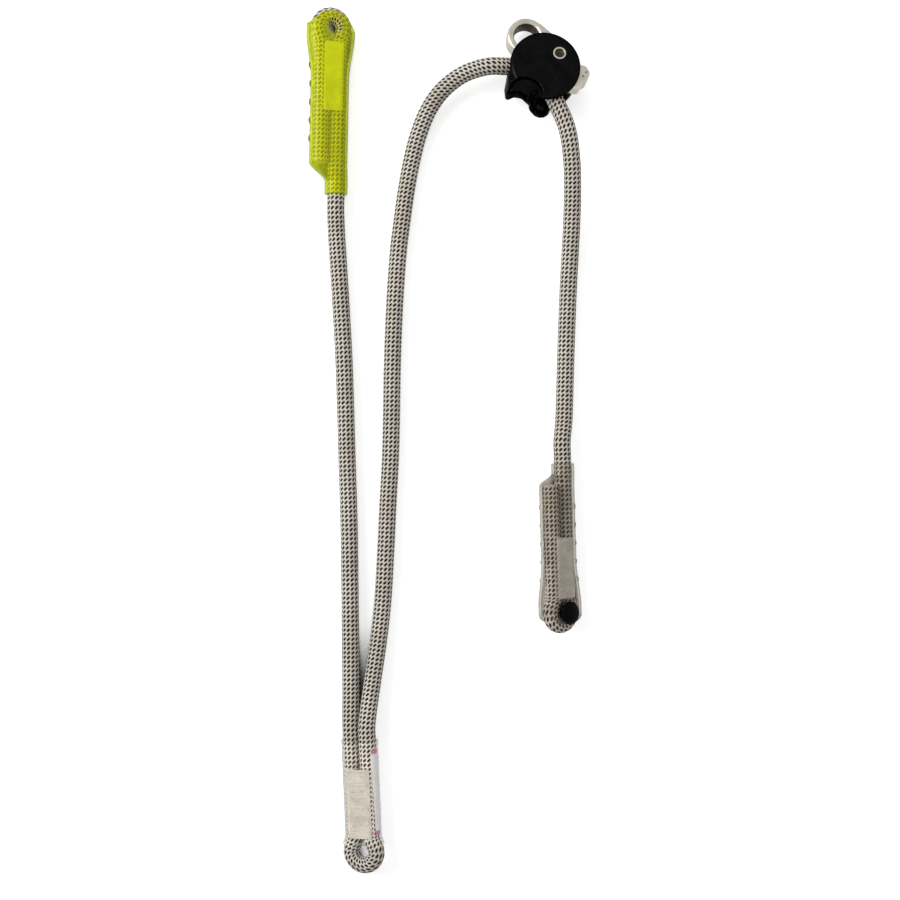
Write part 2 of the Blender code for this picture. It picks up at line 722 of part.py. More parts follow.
def scoop(name, parent):
    """The thumb scoop's hollow: a round wall with a chamfered mouth and a bowl for a floor."""
    face = PLATE_FACE + FRONT_PLATE_THICKNESS
    profile = [(0, face + 3 * MM), (SCOOP_RADIUS + SCOOP_CHAMFER, face + 3 * MM)]
    profile += [(SCOOP_RADIUS + SCOOP_CHAMFER, face), (SCOOP_RADIUS, face - SCOOP_CHAMFER)]
    bowl = quarter((0, SCOOP_FLOOR), (SCOOP_RADIUS, SCOOP_WALL_FOOT), 5)
    profile += list(reversed(bowl))
    return turned(name, profile, parent, None, SCOOP_CENTRE, 36)


def front_plate(parent):
    """The round front plate with its rounded rim, cut away at the thumb scoop."""
    face = PLATE_FACE + FRONT_PLATE_THICKNESS
    profile = [(0, face)]
    profile += quarter((PLATE_RADIUS - PLATE_EDGE_WIDTH, face), (PLATE_RADIUS, face - PLATE_EDGE_DEPTH), 4)
    profile += [(PLATE_RADIUS, PLATE_FACE), (0, PLATE_FACE)]
    made = turned("adjuster_front_plate", profile, parent, PAINT["black"], PLATE_CENTRE, 44)
    seat = face - RIVET_HEAD_HEIGHT - GAP
    combine(made, scoop("plate scoop", parent))
    combine(made, hole("front seat", (0, 0), RIVET_HEAD_RADIUS + GAP, seat, 2 * face, parent))
    combine(made, hole("front bore", (0, 0), RIVET_RADIUS + GAP, 0, 2 * face, parent, 24))
    deep = PLATE_FACE + DOWEL_DEPTH + GAP
    combine(made, hole("front dowel hole", DOWEL_CENTRE, DOWEL_RADIUS + GAP, 0, deep, parent, 12))
    return crisp(made)


def rear_plate(parent):
    """The rear plate: the same disc, carried on behind the lobe and the horn."""
    at_disc, at_lobe = circles_meet(PLATE_CENTRE, PLATE_RADIUS, LOBE_CENTRE, LOBE_RADIUS)
    lobe = arc(LOBE_CENTRE, LOBE_RADIUS, 190, 360 + at_lobe, 12)
    disc = arc(PLATE_CENTRE, PLATE_RADIUS, at_disc, 180, 34)
    corners = horn_corners()
    corners += [(x, y, 0) for x, y in lobe]
    corners += [(x, y, 0) for x, y in disc[1:]]
    back = -PLATE_FACE - REAR_PLATE_THICKNESS
    made = slab("adjuster_rear_plate", rounded(corners), back, -PLATE_FACE, parent, PAINT["black"], REAR_EDGE)
    seat = back + REAR_HEAD_HEIGHT + GAP
    for name, centre, radius, head, steps in (
        ("rear", (0, 0), RIVET_RADIUS, RIVET_HEAD_RADIUS, 28),
        ("rear lobe", LOBE_CENTRE, LOWER_RIVET_RADIUS, LOWER_HEAD_RADIUS, 20),
    ):
        combine(made, hole(f"{name} seat", centre, head + GAP, 2 * back, seat, parent, steps))
        combine(made, hole(f"{name} bore", centre, radius + GAP, 2 * back, 0, parent, steps))
    combine(made, hole("rear dowel hole", DOWEL_CENTRE, DOWEL_RADIUS + GAP, 2 * back, 0, parent, 12))
    return crisp(made)


def eye_ring(parent):
    """The connector eye of the cam: a deep ring with rounded edges."""
    height = ADJUSTER_HALF
    outer = quarter((EYE_OUTER_RADIUS - EYE_FILLET, height), (EYE_OUTER_RADIUS, height - EYE_FILLET), 3)
    inner = [(EYE_BORE_RADIUS + EYE_OUTER_RADIUS - x, z) for x, z in reversed(outer)]
    profile = inner + outer + [(x, -z) for x, z in reversed(inner + outer)]
    mesh = bpy.data.meshes.new("adjuster_cam_eye")
    edges = [(k, (k + 1) % len(profile)) for k in range(len(profile))]
    mesh.from_pydata([(x, 0, z) for x, z in profile], edges, [])
    made = add_object("adjuster_cam_eye", mesh, parent, PAINT["silver"])
    made.location = (*EYE_CENTRE, 0)
    screw = made.modifiers.new("turn", "SCREW")
    screw.steps = 36
    screw.render_steps = 36
    screw.use_merge_vertices = True
    screw.merge_threshold = 0.001 * MM
    return made


def cam_eye(parent):
    """One forging: the connector eye, the cam that pinches the rope and the tail lug."""
    corners = [
        (-19.7 * MM, 1.4 * MM, 0),
        (0, -CAM_BOSS_RADIUS, 3.0 * MM),
        (1.5 * MM, -9.0 * MM, 2.0 * MM),
        (6.0 * MM, -20.6 * MM, 1.0 * MM),
        (12.9 * MM, -20.6 * MM, 1.4 * MM),
        (15.0 * MM, -17.4 * MM, 0.6 * MM),
        (17.6 * MM, -15.8 * MM, 1.2 * MM),
        (20.2 * MM, -10.8 * MM, 3.0 * MM),
        (18.2 * MM, -4.8 * MM, 2.6 * MM),
        (13.2 * MM, -4.2 * MM, 1.5 * MM),
        (7.5 * MM, 5.3 * MM, 5.0 * MM),
        (-11.1 * MM, 22.5 * MM, 0),
    ]
    root = EYE_BORE_RADIUS + EYE_FILLET / 2
    corners += [(x, y, 0) for x, y in arc(EYE_CENTRE, root, 46, -90, 6)]
    made = eye_ring(parent)
    arm = slab("cam arm", rounded(corners), -ADJUSTER_HALF, ADJUSTER_HALF, parent, None, EYE_FILLET)
    combine(made, arm, "UNION")
    for share in (0, 0.5, 1):
        combine(made, rope_space(f"cam clearance {share}", parent, CLOSING_ANGLE * share))
    bore = RIVET_RADIUS + GAP + BUSHING_WALL + GAP
    combine(made, hole("cam bore", (0, 0), bore, -9 * MM, 9 * MM, parent))
    slot = slab("cam slot", [(0, -SLOT_WIDTH / 2), (9 * MM, -SLOT_WIDTH / 2), (9 * MM, SLOT_WIDTH / 2),
                             (0, SLOT_WIDTH / 2)], -9 * MM, 9 * MM, parent)
    slot.location = (19.4 * MM - SLOT_DEPTH, -10.8 * MM, 0)
    slot.rotation_euler = (0, 0, math.radians(14))
    combine(made, slot)
    combine(made, hole("pin hole", (15.2 * MM, -13.6 * MM), PIN_HOLE_RADIUS, 3 * MM, 9 * MM, parent, 12))
    return crisp(made)


def bushing(parent):
    """A plain bush between the rivet and the cam."""
    inner = RIVET_RADIUS + GAP
    outer = inner + BUSHING_WALL
    corners = [(inner, ADJUSTER_HALF), (outer, ADJUSTER_HALF), (outer, -ADJUSTER_HALF), (inner, -ADJUSTER_HALF)]
    mesh = bpy.data.meshes.new("adjuster_cam_bushing")
    mesh.from_pydata([(x, 0, z) for x, z in corners], [(0, 1), (1, 2), (2, 3), (3, 0)], [])
    made = add_object("adjuster_cam_bushing", mesh, parent, PAINT["bronze"])
    screw = made.modifiers.new("turn", "SCREW")
    screw.steps = 24
    screw.render_steps = 24
    screw.use_merge_vertices = True
    screw.merge_threshold = 0.001 * MM
    return made


def pivot_rivet(parent):
    """The rivet that carries the cam, with a flush head in each plate and a round recess in front."""
    front = PLATE_FACE + FRONT_PLATE_THICKNESS
    back = -PLATE_FACE - REAR_PLATE_THICKNESS
    profile = [
        (0, front - RIVET_RECESS_DEPTH),
        (RIVET_RECESS_RADIUS - 0.5 * MM, front - RIVET_RECESS_DEPTH),
        (RIVET_RECESS_RADIUS, front - 0.1 * MM),
        (RIVET_RECESS_RADIUS + 0.2 * MM, front),
        (RIVET_HEAD_RADIUS - 0.3 * MM, front),
        (RIVET_HEAD_RADIUS, front - 0.3 * MM),
        (RIVET_HEAD_RADIUS, front - RIVET_HEAD_HEIGHT),
        (RIVET_RADIUS, front - RIVET_HEAD_HEIGHT),
        (RIVET_RADIUS, back + REAR_HEAD_HEIGHT),
        (RIVET_HEAD_RADIUS, back + REAR_HEAD_HEIGHT),
        (RIVET_HEAD_RADIUS, back),
        (0, back),
    ]
    return turned("adjuster_pivot_rivet", profile, parent, PAINT["silver"], steps=28)


def lobe_rivet(parent):
    """The lower rivet, sunk in the lobe and in the rear plate."""
    front = LOBE_TOP - LOWER_HEAD_SINK
    back = -PLATE_FACE - REAR_PLATE_THICKNESS
    profile = [
        (0, front),
        (LOWER_HEAD_RADIUS - 0.3 * MM, front),
        (LOWER_HEAD_RADIUS, front - 0.3 * MM),
        (LOWER_HEAD_RADIUS, front - LOWER_HEAD_HEIGHT),
        (LOWER_RIVET_RADIUS, front - LOWER_HEAD_HEIGHT),
        (LOWER_RIVET_RADIUS, back + REAR_HEAD_HEIGHT),
        (LOWER_HEAD_RADIUS, back + REAR_HEAD_HEIGHT),
        (LOWER_HEAD_RADIUS, back),
        (0, back),
    ]
    return turned("adjuster_lobe_rivet", profile, parent, PAINT["black"], LOBE_CENTRE, 20)


def block_dowel(parent):
    """The dowel that keeps the friction block square between the plates."""
    back = -PLATE_FACE - REAR_PLATE_THICKNESS
    top = PLATE_FACE + DOWEL_DEPTH
    profile = [(0, top), (DOWEL_RADIUS, top), (DOWEL_RADIUS, back), (0, back)]
    return turned("adjuster_block_dowel", profile, parent, PAINT["silver"], DOWEL_CENTRE, 12)


# Free stretches of rope


def between(first, second, third, fourth, share):
    """A point between the middle two of four, on a centripetal curve through them all."""
    knots = [0.0]
    for a, b in ((first, second), (second, third), (third, fourth)):
        knots.append(knots[-1] + max((b - a).length, 1e-9) ** 0.5)
    at = knots[1] + (knots[2] - knots[1]) * share

    def mix(a, b, low, high):
        return a * ((high - at) / (high - low)) + b * ((at - low) / (high - low))

    one = mix(first, second, knots[0], knots[1])
    two = mix(second, third, knots[1], knots[2])
    three = mix(third, fourth, knots[2], knots[3])
    return mix(mix(one, two, knots[0], knots[2]), mix(two, three, knots[1], knots[3]), knots[1], knots[2])


def smooth_route(route, step):
    """Points about a step apart on a smooth curve through the route, keeping its straight ends."""
    ends = [2 * route[0] - route[1]] + route + [2 * route[-1] - route[-2]]
    dense = []
    for four in zip(ends[1:], ends[2:], ends[3:], ends[4:]):
        dense += [between(*four, k / 16) for k in range(16)]
    dense = dense[: 16 * (len(route) - 3)] + [route[-2]]
    reach = [0.0]
    for a, b in zip(dense, dense[1:]):
        reach.append(reach[-1] + (b - a).length)
    count = max(2, round(reach[-1] / step))
    points = [route[0]]
    for k in range(count + 1):
        wanted = reach[-1] * k / count
        after = next(i for i, r in enumerate(reach) if r >= wanted - 1e-9)
        before = max(after - 1, 0)
        span = reach[after] - reach[before]
        share = (wanted - reach[before]) / span if span else 0.0
        points.append(dense[before].lerp(dense[after], share))
    return points + [route[-1]]


def leave(holder, end, direction):
    """Two points that take a rope straight out of an end that is known in its holder's frame."""
    bpy.context.view_layer.update()
    place = holder.matrix_basis
    start = place @ Vector(end)
    out = (place.to_3x3() @ Vector(direction)).normalized()
    return [start + out * GAP, start + out * (GAP + STRAIGHT_EXIT)]


def leg(name, start, middle, end, parent):
    route = start + [Vector(point) * MM for point in middle] + end[::-1]
    points = smooth_route(route, LEG_STEP)
    length = sum((b - a).length for a, b in zip(points, points[1:]))
    print(f"{name}: {length / MM:.0f} mm of rope")
    return tube(name, points, [ROPE_DIAMETER / 2] * len(points), parent, PAINT["rope"])


def build():
    whole = frame("lanyard_origin", ORIGIN_SHIFT, 0, degrees(0, 0, 0), None)
    half = cavity_half() + SLEEVE_WALL
    under = [(side * (half_width(0, SLEEVE_WALL) - half), 0, 0) for side in (-1, 1)]

    fixed_turn = degrees(0, FIXED_EYE_ROLL, FIXED_EYE_TURN)
    fixed_height = rest_height(fixed_turn, under) + rest_half(SLEEVE_WALL)
    fixed = frame("fixed_end_frame", FIXED_EYE_PLACE, fixed_height, fixed_turn, whole)
    end_eye_rope("fixed_end_eye_rope", FIXED_TAIL, 1, fixed)
    stitching("fixed_end_stitching", END_STITCH_WIDTH, LONG_STITCH, fixed)
    end_sleeve("fixed_end_sleeve", FIXED_TAIL, FIXED_FIRST_RIB, (-1,), 1, fixed, PAINT["yellow"])

    stop_turn = degrees(0, STOP_EYE_ROLL, STOP_EYE_TURN)
    stop_height = rest_height(stop_turn, under) + rest_half(SLEEVE_WALL)
    stop = frame("stop_end_frame", STOP_EYE_PLACE, stop_height, stop_turn, whole)
    end_eye_rope("stop_end_eye_rope", STOP_TAIL, -1, stop)
    stitching("stop_end_stitching", END_STITCH_WIDTH, SHORT_STITCH, stop)
    end_sleeve("stop_end_sleeve", STOP_TAIL, STOP_FIRST_RIB, (-1, 1), -1, stop, PAINT["smoke"])
    plug(stop)

    harness_turn = degrees(0, HARNESS_EYE_ROLL, HARNESS_EYE_TURN)
    mouth = eye_offset(-CLEAR_SLEEVE_START, HARNESS_EYE_RADIUS) + ROPE_DIAMETER / 2 + 3 * GAP - cavity_half()
    harness_height = rest_height(harness_turn, [(mouth, 0, 0), (-mouth, 0, 0)]) + rest_half(CLEAR_WALL)
    harness = frame("harness_eye_frame", HARNESS_EYE_PLACE, harness_height, harness_turn, whole)
    harness_eye_rope(harness)
    stitching("harness_eye_stitching", HARNESS_STITCH_WIDTH, LONG_STITCH, harness)
    clear_sleeve(harness)
    label(harness)

    tilt = degrees(ADJUSTER_TILT_X, ADJUSTER_TILT_Y, 0)
    back = -PLATE_FACE - REAR_PLATE_THICKNESS
    rims = [(x, y, back) for x, y in arc(PLATE_CENTRE, PLATE_RADIUS, 0, 360, 72)]
    rims += [(x, y, -ADJUSTER_HALF) for x, y in arc(EYE_CENTRE, EYE_OUTER_RADIUS, 0, 360, 72)]
    adjuster = frame("adjuster_frame", ADJUSTER_PLACE, rest_height(tilt, rims), tilt, whole)
    cam = frame("cam_hinge", (0, 0), 0, degrees(0, 0, 0), adjuster)
    path = rope_path()
    tube("adjuster_rope", path, [ROPE_DIAMETER / 2] * len(path), adjuster, PAINT["rope"])
    friction_block(adjuster)
    front_plate(adjuster)
    rear_plate(adjuster)
    pivot_rivet(adjuster)
    lobe_rivet(adjuster)
    block_dowel(adjuster)
    cam_eye(cam)
    bushing(cam)

    fixed_exit = leave(fixed, (STRAND_OFFSET, -collar_end(FIXED_TAIL), 0), (0, -1, 0))
    stop_exit = leave(stop, (-STRAND_OFFSET, -collar_end(STOP_TAIL), 0), (0, -1, 0))
    clear_end = -CLEAR_SLEEVE_START - CLEAR_SLEEVE_LENGTH
    lower_exit = leave(harness, (STRAND_OFFSET, clear_end, 0), (0, -1, 0))
    upper_exit = leave(harness, (-STRAND_OFFSET, clear_end, 0), (0, -1, 0))
    rope_in = leave(adjuster, path[0], (-1, 0, 0))
    rope_away = leave(adjuster, path[-1], rope_out())
    leg("fixed_leg_rope", fixed_exit, FIXED_LEG_ROUTE, lower_exit, whole)
    leg("adjustable_leg_rope", upper_exit, ADJUSTABLE_LEG_ROUTE, rope_in, whole)
    leg("tail_rope", rope_away, TAIL_ROUTE, stop_exit, whole)


clear_scene()
PARTS = new_collection("adjustable_y_lanyard")
CUTTERS = new_collection("lanyard_cutters")
PAINT = {
    "rope": material("rope sheath", (0.62, 0.58, 0.5), 0.85),
    "thread": material("sewing thread", (0.72, 0.69, 0.62), 0.8),
    "yellow": material("yellow green sleeve", (0.52, 0.58, 0.03), 0.35, 0.0, 0.6),
    "smoke": material("smoky clear sleeve", (0.5, 0.49, 0.44), 0.35, 0.0, 0.5),
    "clear": material("clear sleeve", (0.85, 0.83, 0.8), 0.25, 0.0, 0.3),
    "label": material("label film", (0.85, 0.84, 0.86), 0.5),
    "rubber": material("black rubber", (0.012, 0.012, 0.013), 0.6),
    "black": material("black anodised", (0.015, 0.015, 0.017), 0.42, 0.3),
    "silver": material("satin light metal", (0.66, 0.63, 0.54), 0.35, 1.0),
    "bronze": material("bronze bush", (0.45, 0.3, 0.14), 0.4, 1.0),
}
build()
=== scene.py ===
"""Looks of the adjustable Y lanyard: rope, sewn ends, sleeves and the cam rope adjuster, laid out flat.

Sizes are in metres, in the frame of the solid model: +Z up off the surface, +Y towards the two upper ends.
"""

import math

import bmesh
import bpy
import numpy as np
from bpy.props import FloatProperty, FloatVectorProperty, IntProperty, PointerProperty
from mathutils import Euler, Matrix, Vector


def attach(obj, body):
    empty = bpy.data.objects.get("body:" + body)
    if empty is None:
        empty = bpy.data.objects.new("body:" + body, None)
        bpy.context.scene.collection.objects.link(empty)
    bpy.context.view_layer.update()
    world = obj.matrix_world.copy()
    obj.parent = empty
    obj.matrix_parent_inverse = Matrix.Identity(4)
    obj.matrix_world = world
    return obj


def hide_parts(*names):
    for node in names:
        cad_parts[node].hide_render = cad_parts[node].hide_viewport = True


bl_info = {
    "name": "Adjustable Y lanyard",
    "version": (1, 0, 0),
    "blender": (4, 5, 0),
    "location": "View3D > Sidebar > Lanyard",
    "description": "Builds the rope, sleeves, stitching and adjuster of a Y lanyard",
    "category": "Object",
}

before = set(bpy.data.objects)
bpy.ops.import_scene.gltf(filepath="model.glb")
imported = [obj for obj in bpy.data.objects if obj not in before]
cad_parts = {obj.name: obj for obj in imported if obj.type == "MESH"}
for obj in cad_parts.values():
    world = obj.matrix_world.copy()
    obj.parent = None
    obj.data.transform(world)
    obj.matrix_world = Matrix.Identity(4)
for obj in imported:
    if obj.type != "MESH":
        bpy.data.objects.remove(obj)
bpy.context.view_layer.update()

MM = 0.001
GAP = 0.3 * MM

ROPE_DIAMETER = 11.0 * MM
SEWN_DIAMETER = 10.2 * MM
HARNESS_EYE_DIAMETER = 10.4 * MM
STRAND_OFFSET = 5.55 * MM
END_EYE_RADIUS = 8.3 * MM
HARNESS_EYE_RADIUS = 8.7 * MM
EYE_TAPER = 10.0 * MM

CELL_SIDES = 5
DARK_WIDTH = 0.36
PALE_WIDTH = 0.43
BRAID_CROWN = 0.55
BRAID_WAVE = 0.45

STITCH_START = 9.2 * MM
LONG_STITCH = 44.0 * MM
SHORT_STITCH = 38.5 * MM
FIXED_STITCH_WIDTH = 13.0 * MM
STOP_STITCH_WIDTH = 16.0 * MM
HARNESS_STITCH_WIDTH = 16.8 * MM
FIXED_STITCH_SHIFT = 1.2 * MM
STOP_STITCH_SHIFT = -1.7 * MM
THREAD_CREST = SEWN_DIAMETER / 2 + 0.55 * MM
THREAD_SAG = 0.22 * MM

FIXED_TAIL = 85.4 * MM
STOP_TAIL = 80.4 * MM
COLLAR_LENGTH = 7.5 * MM
STEP_LENGTH = 12.0 * MM
STOP_COLLAR_LENGTH = 6.2 * MM
STOP_STEP_LENGTH = 7.5 * MM
CLEAR_SLEEVE_START = 5.5 * MM
CLEAR_SLEEVE_END = 71.0 * MM
LABEL_START = 11.5 * MM
LABEL_END = 65.5 * MM
LABEL_INSIDE = 5.42 * MM
LABEL_OUTSIDE = 5.8 * MM
HARNESS_SEWN_END = 65.0 * MM
CAVITY_HALF = SEWN_DIAMETER / 2 + 0.5 * MM + 2 * GAP
STRAND_REACH = STRAND_OFFSET + SEWN_DIAMETER / 2 + GAP
FLARE_REACH = END_EYE_RADIUS + SEWN_DIAMETER / 2 + GAP + 0.5 * MM
SLEEVE_WALL = 1.5 * MM
FILM_OUTSIDE = 0.8 * MM
FILM_INSIDE = 0.25 * MM
FILM_PUCKER = 0.07 * MM
WINDOW_CENTRE = (1.2 * MM, 0.5 * MM)
WINDOW_HALVES = (4.6 * MM, 5.4 * MM)
RIM_CENTRE = (0.9 * MM, 0.4 * MM)
RIM_HALVES = (5.9 * MM, 7.4 * MM)
RIM_HEIGHT = 0.75 * MM
NUB_COUNT = 5
NUB_PITCH = 11.6 * MM
TIP_FOOT = -7.0 * MM
LOW_TIP = ([-17.0, -14.2, -12.0, -9.6, -6.8, -3.4, 0.0, 3.4, 6.8, 9.6, 12.0, 14.2, 17.0],
           [1.4, 1.8, 3.0, 4.6, 6.0, 6.9, 7.2, 6.9, 6.0, 4.6, 3.0, 1.8, 1.4])
SKEW_TIP = ([-17.0, -14.2, -12.0, -9.6, -6.8, -3.4, 0.0, 4.0, 7.2, 9.7, 11.8, 13.9, 16.0, 17.0],
            [1.6, 2.2, 4.0, 6.2, 8.2, 9.4, 9.7, 9.0, 6.9, 4.4, 1.7, -0.8, -3.2, -4.4])

PLATE_HALF = 6.1 * MM
PLATE_FACE = PLATE_HALF + 4.0 * MM
REAR_FACE = -PLATE_HALF - 3.0 * MM
BLOCK_HALF = PLATE_HALF - GAP
PLATE_CENTRE = (-9.0 * MM, -7.6 * MM)
PLATE_RADIUS = 22.4 * MM
SCOOP_CENTRE = (-22.6 * MM, -27.3 * MM)
SCOOP_RADIUS = 11.0 * MM
SCOOP_FLOOR = 1.2 * MM
SCOOP_DEPTH = 5.8 * MM
SCOOP_LIP = 0.9 * MM
LOBE_CENTRE = (-10.6 * MM, -29.5 * MM)
LOBE_RADIUS = 6.4 * MM
LOBE_TOP = -2.6 * MM
LOBE_STRETCH = 1.5 * MM
LOBE_SHOULDER = 4.8 * MM
BLOCK_CREST = 7.0 * MM
BLOCK_BLEND = 1.1 * MM
RIVET_SEAT = 4.38 * MM
RIVET_RECESS = 3.05 * MM
EYE_CENTRE = (-19.7 * MM, 13.5 * MM)
EYE_OUTER = 12.6 * MM
EYE_BORE = 8.1 * MM
EYE_FILLET = 1.9 * MM
CLOSING_ANGLE = math.radians(16.0)
BEND_CENTRE = (-23.8 * MM, -23.7 * MM)
BEND_RADIUS = 18.6 * MM
BEND_ANGLE = 68.0
ROPE_LEAD_IN = 10.2 * MM
ROPE_LEAD_OUT = 16.0 * MM

FLOOR_HALF = 3.0
LAMP_POWER = 2.2
LAMP_SIZE = 1.2
LENS = 65.625
# How open the floor must be for its painted shadow to fade out.
PAINTED_SHADOW_RANGE = (0.38, 0.46)
CAMERA_PLACE = (1.334 * MM, -6.105 * MM, 1056 * MM)


def placed(x, y, z, turns):
    """A piece's place from its point in millimetres and its turns about X, Y and Z in degrees."""
    turned_over = Euler([math.radians(turn) for turn in turns]).to_matrix().to_4x4()
    return Matrix.Translation(Vector((x, y, z)) * MM) @ turned_over


FIXED_END = placed(-74.566, 262.495, 10.373, (0, 18, -1.2))
HARNESS_EYE = placed(-53.466, -262.005, 9.843, (0, 22, 182.4))
STOP_END = placed(71.434, -109.205, 12.826, (0, -38, 181.6))
ADJUSTER = placed(69.534, 242.095, 11.675, (-12.5, 5.5, 0))
SEWN_EYES = {
    "fixed_end_strands": (FIXED_END, FIXED_TAIL, 10 * MM),
    "harness_eye_strands": (HARNESS_EYE, HARNESS_SEWN_END, 5 * MM),
    "stop_end_strands": (STOP_END, STOP_TAIL, 10 * MM),
}

ROUTE_SHIFT = Vector((0.034 * MM, -1.605 * MM, 0))
FIXED_LEG_ROUTE = [
    (-71.4, 136.0, 6.6), (-70.1, 114.0, 5.8), (-68.5, 88.0, 5.6), (-66.6, 53.0, 5.6), (-65.5, 21.0, 5.6),
    (-64.6, -11.0, 5.6), (-63.4, -49.0, 5.6), (-62.8, -88.0, 5.6), (-62.4, -126.0, 5.7), (-62.1, -158.0, 6.1),
]
ADJUSTABLE_LEG_ROUTE = [
    (-50.6, -170.0, 10.7), (-48.1, -152.0, 8.5), (-44.4, -126.0, 6.5), (-41.6, -100.0, 5.8),
    (-39.8, -68.5, 5.6), (-38.3, -36.5, 5.6), (-36.9, -11.0, 5.6), (-36.2, 15.0, 5.6), (-35.7, 47.0, 5.6),
    (-34.9, 72.0, 5.6), (-33.6, 98.0, 5.6), (-31.7, 123.5, 5.6), (-29.3, 143.0, 5.6), (-26.9, 160.5, 5.6),
    (-23.3, 180.0, 5.8), (-18.8, 197.5, 6.6), (-12.0, 213.5, 8.4), (-3.2, 225.0, 10.9), (8.6, 233.6, 13.8),
    (19.8, 237.6, 15.6),
]
TAIL_ROUTE = [
    (76.0, 195.5, 20.2), (78.4, 179.0, 17.6), (79.2, 161.0, 13.4), (79.0, 142.0, 9.5), (78.2, 122.0, 6.8),
    (77.0, 98.0, 5.7), (75.9, 69.0, 5.6), (75.0, 40.0, 5.7), (74.1, 14.0, 7.0),
]


def colour_setting(name, description, default):
    """A setting that holds a colour."""
    return FloatVectorProperty(name=name, description=description, default=default, subtype="COLOR")


def length_setting(name, description, default, low=0.0):
    """A setting in metres."""
    return FloatProperty(name=name, description=description, default=default, min=low, unit="LENGTH")


def number_setting(name, description, default, **limits):
    """A setting that holds a plain number from 0 up."""
    return FloatProperty(name=name, description=description, default=default, min=0.0, **limits)


def clearness_setting(plastic, default):
    """A setting for the share of the light that a plastic lets pass."""
    description = f"How much of the light the {plastic.lower()} lets pass"
    return number_setting(f"{plastic} clearness", description, default, max=1.0, subtype="FACTOR")


class RopeSettings(bpy.types.PropertyGroup):
    """The rope's sheath."""

    columns: IntProperty(name="Columns", description="Columns of marks round the rope", default=12, min=6,
                         max=24)
    pitch: length_setting("Pitch", "Length of rope from one row of marks to the next", 2.9 * MM, MM)
    relief: length_setting("Relief", "How far the braid's strands stand out", 0.22 * MM)
    sheath: colour_setting("Sheath", "Colour of the pale strands", (0.70, 0.655, 0.59))
    mark: colour_setting("Mark", "Colour of the dark strands", (0.009, 0.0065, 0.0045))


class SleeveSettings(bpy.types.PropertyGroup):
    """The moulded sleeves and the clear one."""

    yellow: colour_setting("Yellow", "Colour of the fixed end's sleeve", (0.72, 0.745, 0.03))
    smoke: colour_setting("Smoke", "Colour of the stop end's sleeve", (0.64, 0.617, 0.582))
    film: colour_setting("Film", "Colour of the harness eye's clear sleeve", (0.80, 0.79, 0.775))
    yellow_clearness: clearness_setting("Yellow", 0.82)
    smoke_clearness: clearness_setting("Smoke", 0.99)
    film_clearness: clearness_setting("Film", 0.99)


class ThreadSettings(bpy.types.PropertyGroup):
    """The sewing thread of the three eyes."""

    radius: length_setting("Thread radius", "Radius of the thread", 0.24 * MM, 0.1 * MM)
    pitch: length_setting("Stitch pitch", "Length from one pass of thread to the next", 0.46 * MM, 0.2 * MM)
    colour: colour_setting("End thread", "Colour of the thread in the two ends", (0.95, 0.95, 0.94))
    # One pale thread in two tones: the harness eye's copy is set darker as painted shade.
    harness: colour_setting("Harness thread in painted shade", "Colour of the thread in the harness eye", (0.615, 0.58, 0.53))


class MetalSettings(bpy.types.PropertyGroup):
    """The adjuster's finishes."""

    black: colour_setting("Black", "Colour of the plates and the friction block", (0.0042, 0.0042, 0.0046))
    pale: colour_setting("Pale metal", "Colour of the cam and its eye", (0.55, 0.525, 0.44))
    bronze: colour_setting("Bronze", "Colour of the cam's bush", (0.45, 0.29, 0.13))


class StageSettings(bpy.types.PropertyGroup):
    """Floor, light and camera."""

    floor: colour_setting("Floor", "Colour of the floor", (0.8, 0.8, 0.8))
    key: number_setting("Key light", "Strength of the large light", 8.6)
    fill: number_setting("Fill light", "Strength of the light from all round", 0.3)
    glow: number_setting("Floor glow", "What the open floor adds to its own white", 0.6)


SETTINGS = {
    "lanyard_rope": RopeSettings,
    "lanyard_sleeves": SleeveSettings,
    "lanyard_thread": ThreadSettings,
    "lanyard_metal": MetalSettings,
    "lanyard_stage": StageSettings,
}


# Shader building


def put(tree, kind, inputs=None, **settings):
    """Adds a shader node. An input takes another node's output, a number or a colour."""
    made = tree.nodes.new(kind)
    for name, value in settings.items():
        setattr(made, name, value)
    fill_in(tree, made, inputs or {})
    return made


def fill_in(tree, node, inputs):
    for name, value in inputs.items():
        socket = node.inputs[name]
        if isinstance(value, bpy.types.NodeSocket):
            tree.links.new(value, socket)
        elif socket.type == "RGBA":
            socket.default_value = (*value[:3], 1.0)
        else:
            socket.default_value = value


def sums(tree, operation, first, second=0.0, third=0.0, clamp=False):
    inputs = {0: first, 1: second, 2: third}
    return put(tree, "ShaderNodeMath", inputs, operation=operation, use_clamp=clamp).outputs[0]


def blend_colour(tree, share, first, second, kind="MIX"):
    inputs = {0: share, 6: first, 7: second}
    return put(tree, "ShaderNodeMix", inputs, data_type="RGBA", blend_type=kind).outputs[2]


def noise(tree, where, scale, detail, rough=0.5):
    inputs = {"Vector": where, "Scale": scale, "Detail": detail, "Roughness": rough}
    return put(tree, "ShaderNodeTexNoise", inputs).outputs["Fac"]


def spread(tree, value, low=0.0, high=1.0, first=0.0, last=1.0):
    """What lies between low and high, spread from first to last."""
    return put(tree, "ShaderNodeMapRange", {0: value, 1: low, 2: high, 3: first, 4: last}).outputs[0]


def bump(tree, height, strength, distance):
    inputs = {"Height": height, "Strength": strength, "Distance": distance}
    return put(tree, "ShaderNodeBump", inputs).outputs[0]


def on_map(tree, layer):
    """Across and along on one of the piece's UV maps."""
    place = put(tree, "ShaderNodeUVMap", uv_map=layer).outputs[0]
    return put(tree, "ShaderNodeSeparateXYZ", {0: place}).outputs


def on_piece(tree):
    """The place on the piece itself, so that patterns ride with it."""
    return put(tree, "ShaderNodeTexCoord").outputs["Object"]


def seen(tree):
    """1 for rays from the camera, also in a mirror and through plastic, and 0 for gathered light."""
    rays = put(tree, "ShaderNodeLightPath").outputs
    straight = sums(tree, "ADD", rays["Is Camera Ray"], rays["Is Glossy Ray"])
    return sums(tree, "ADD", straight, rays["Is Transmission Ray"], clamp=True)


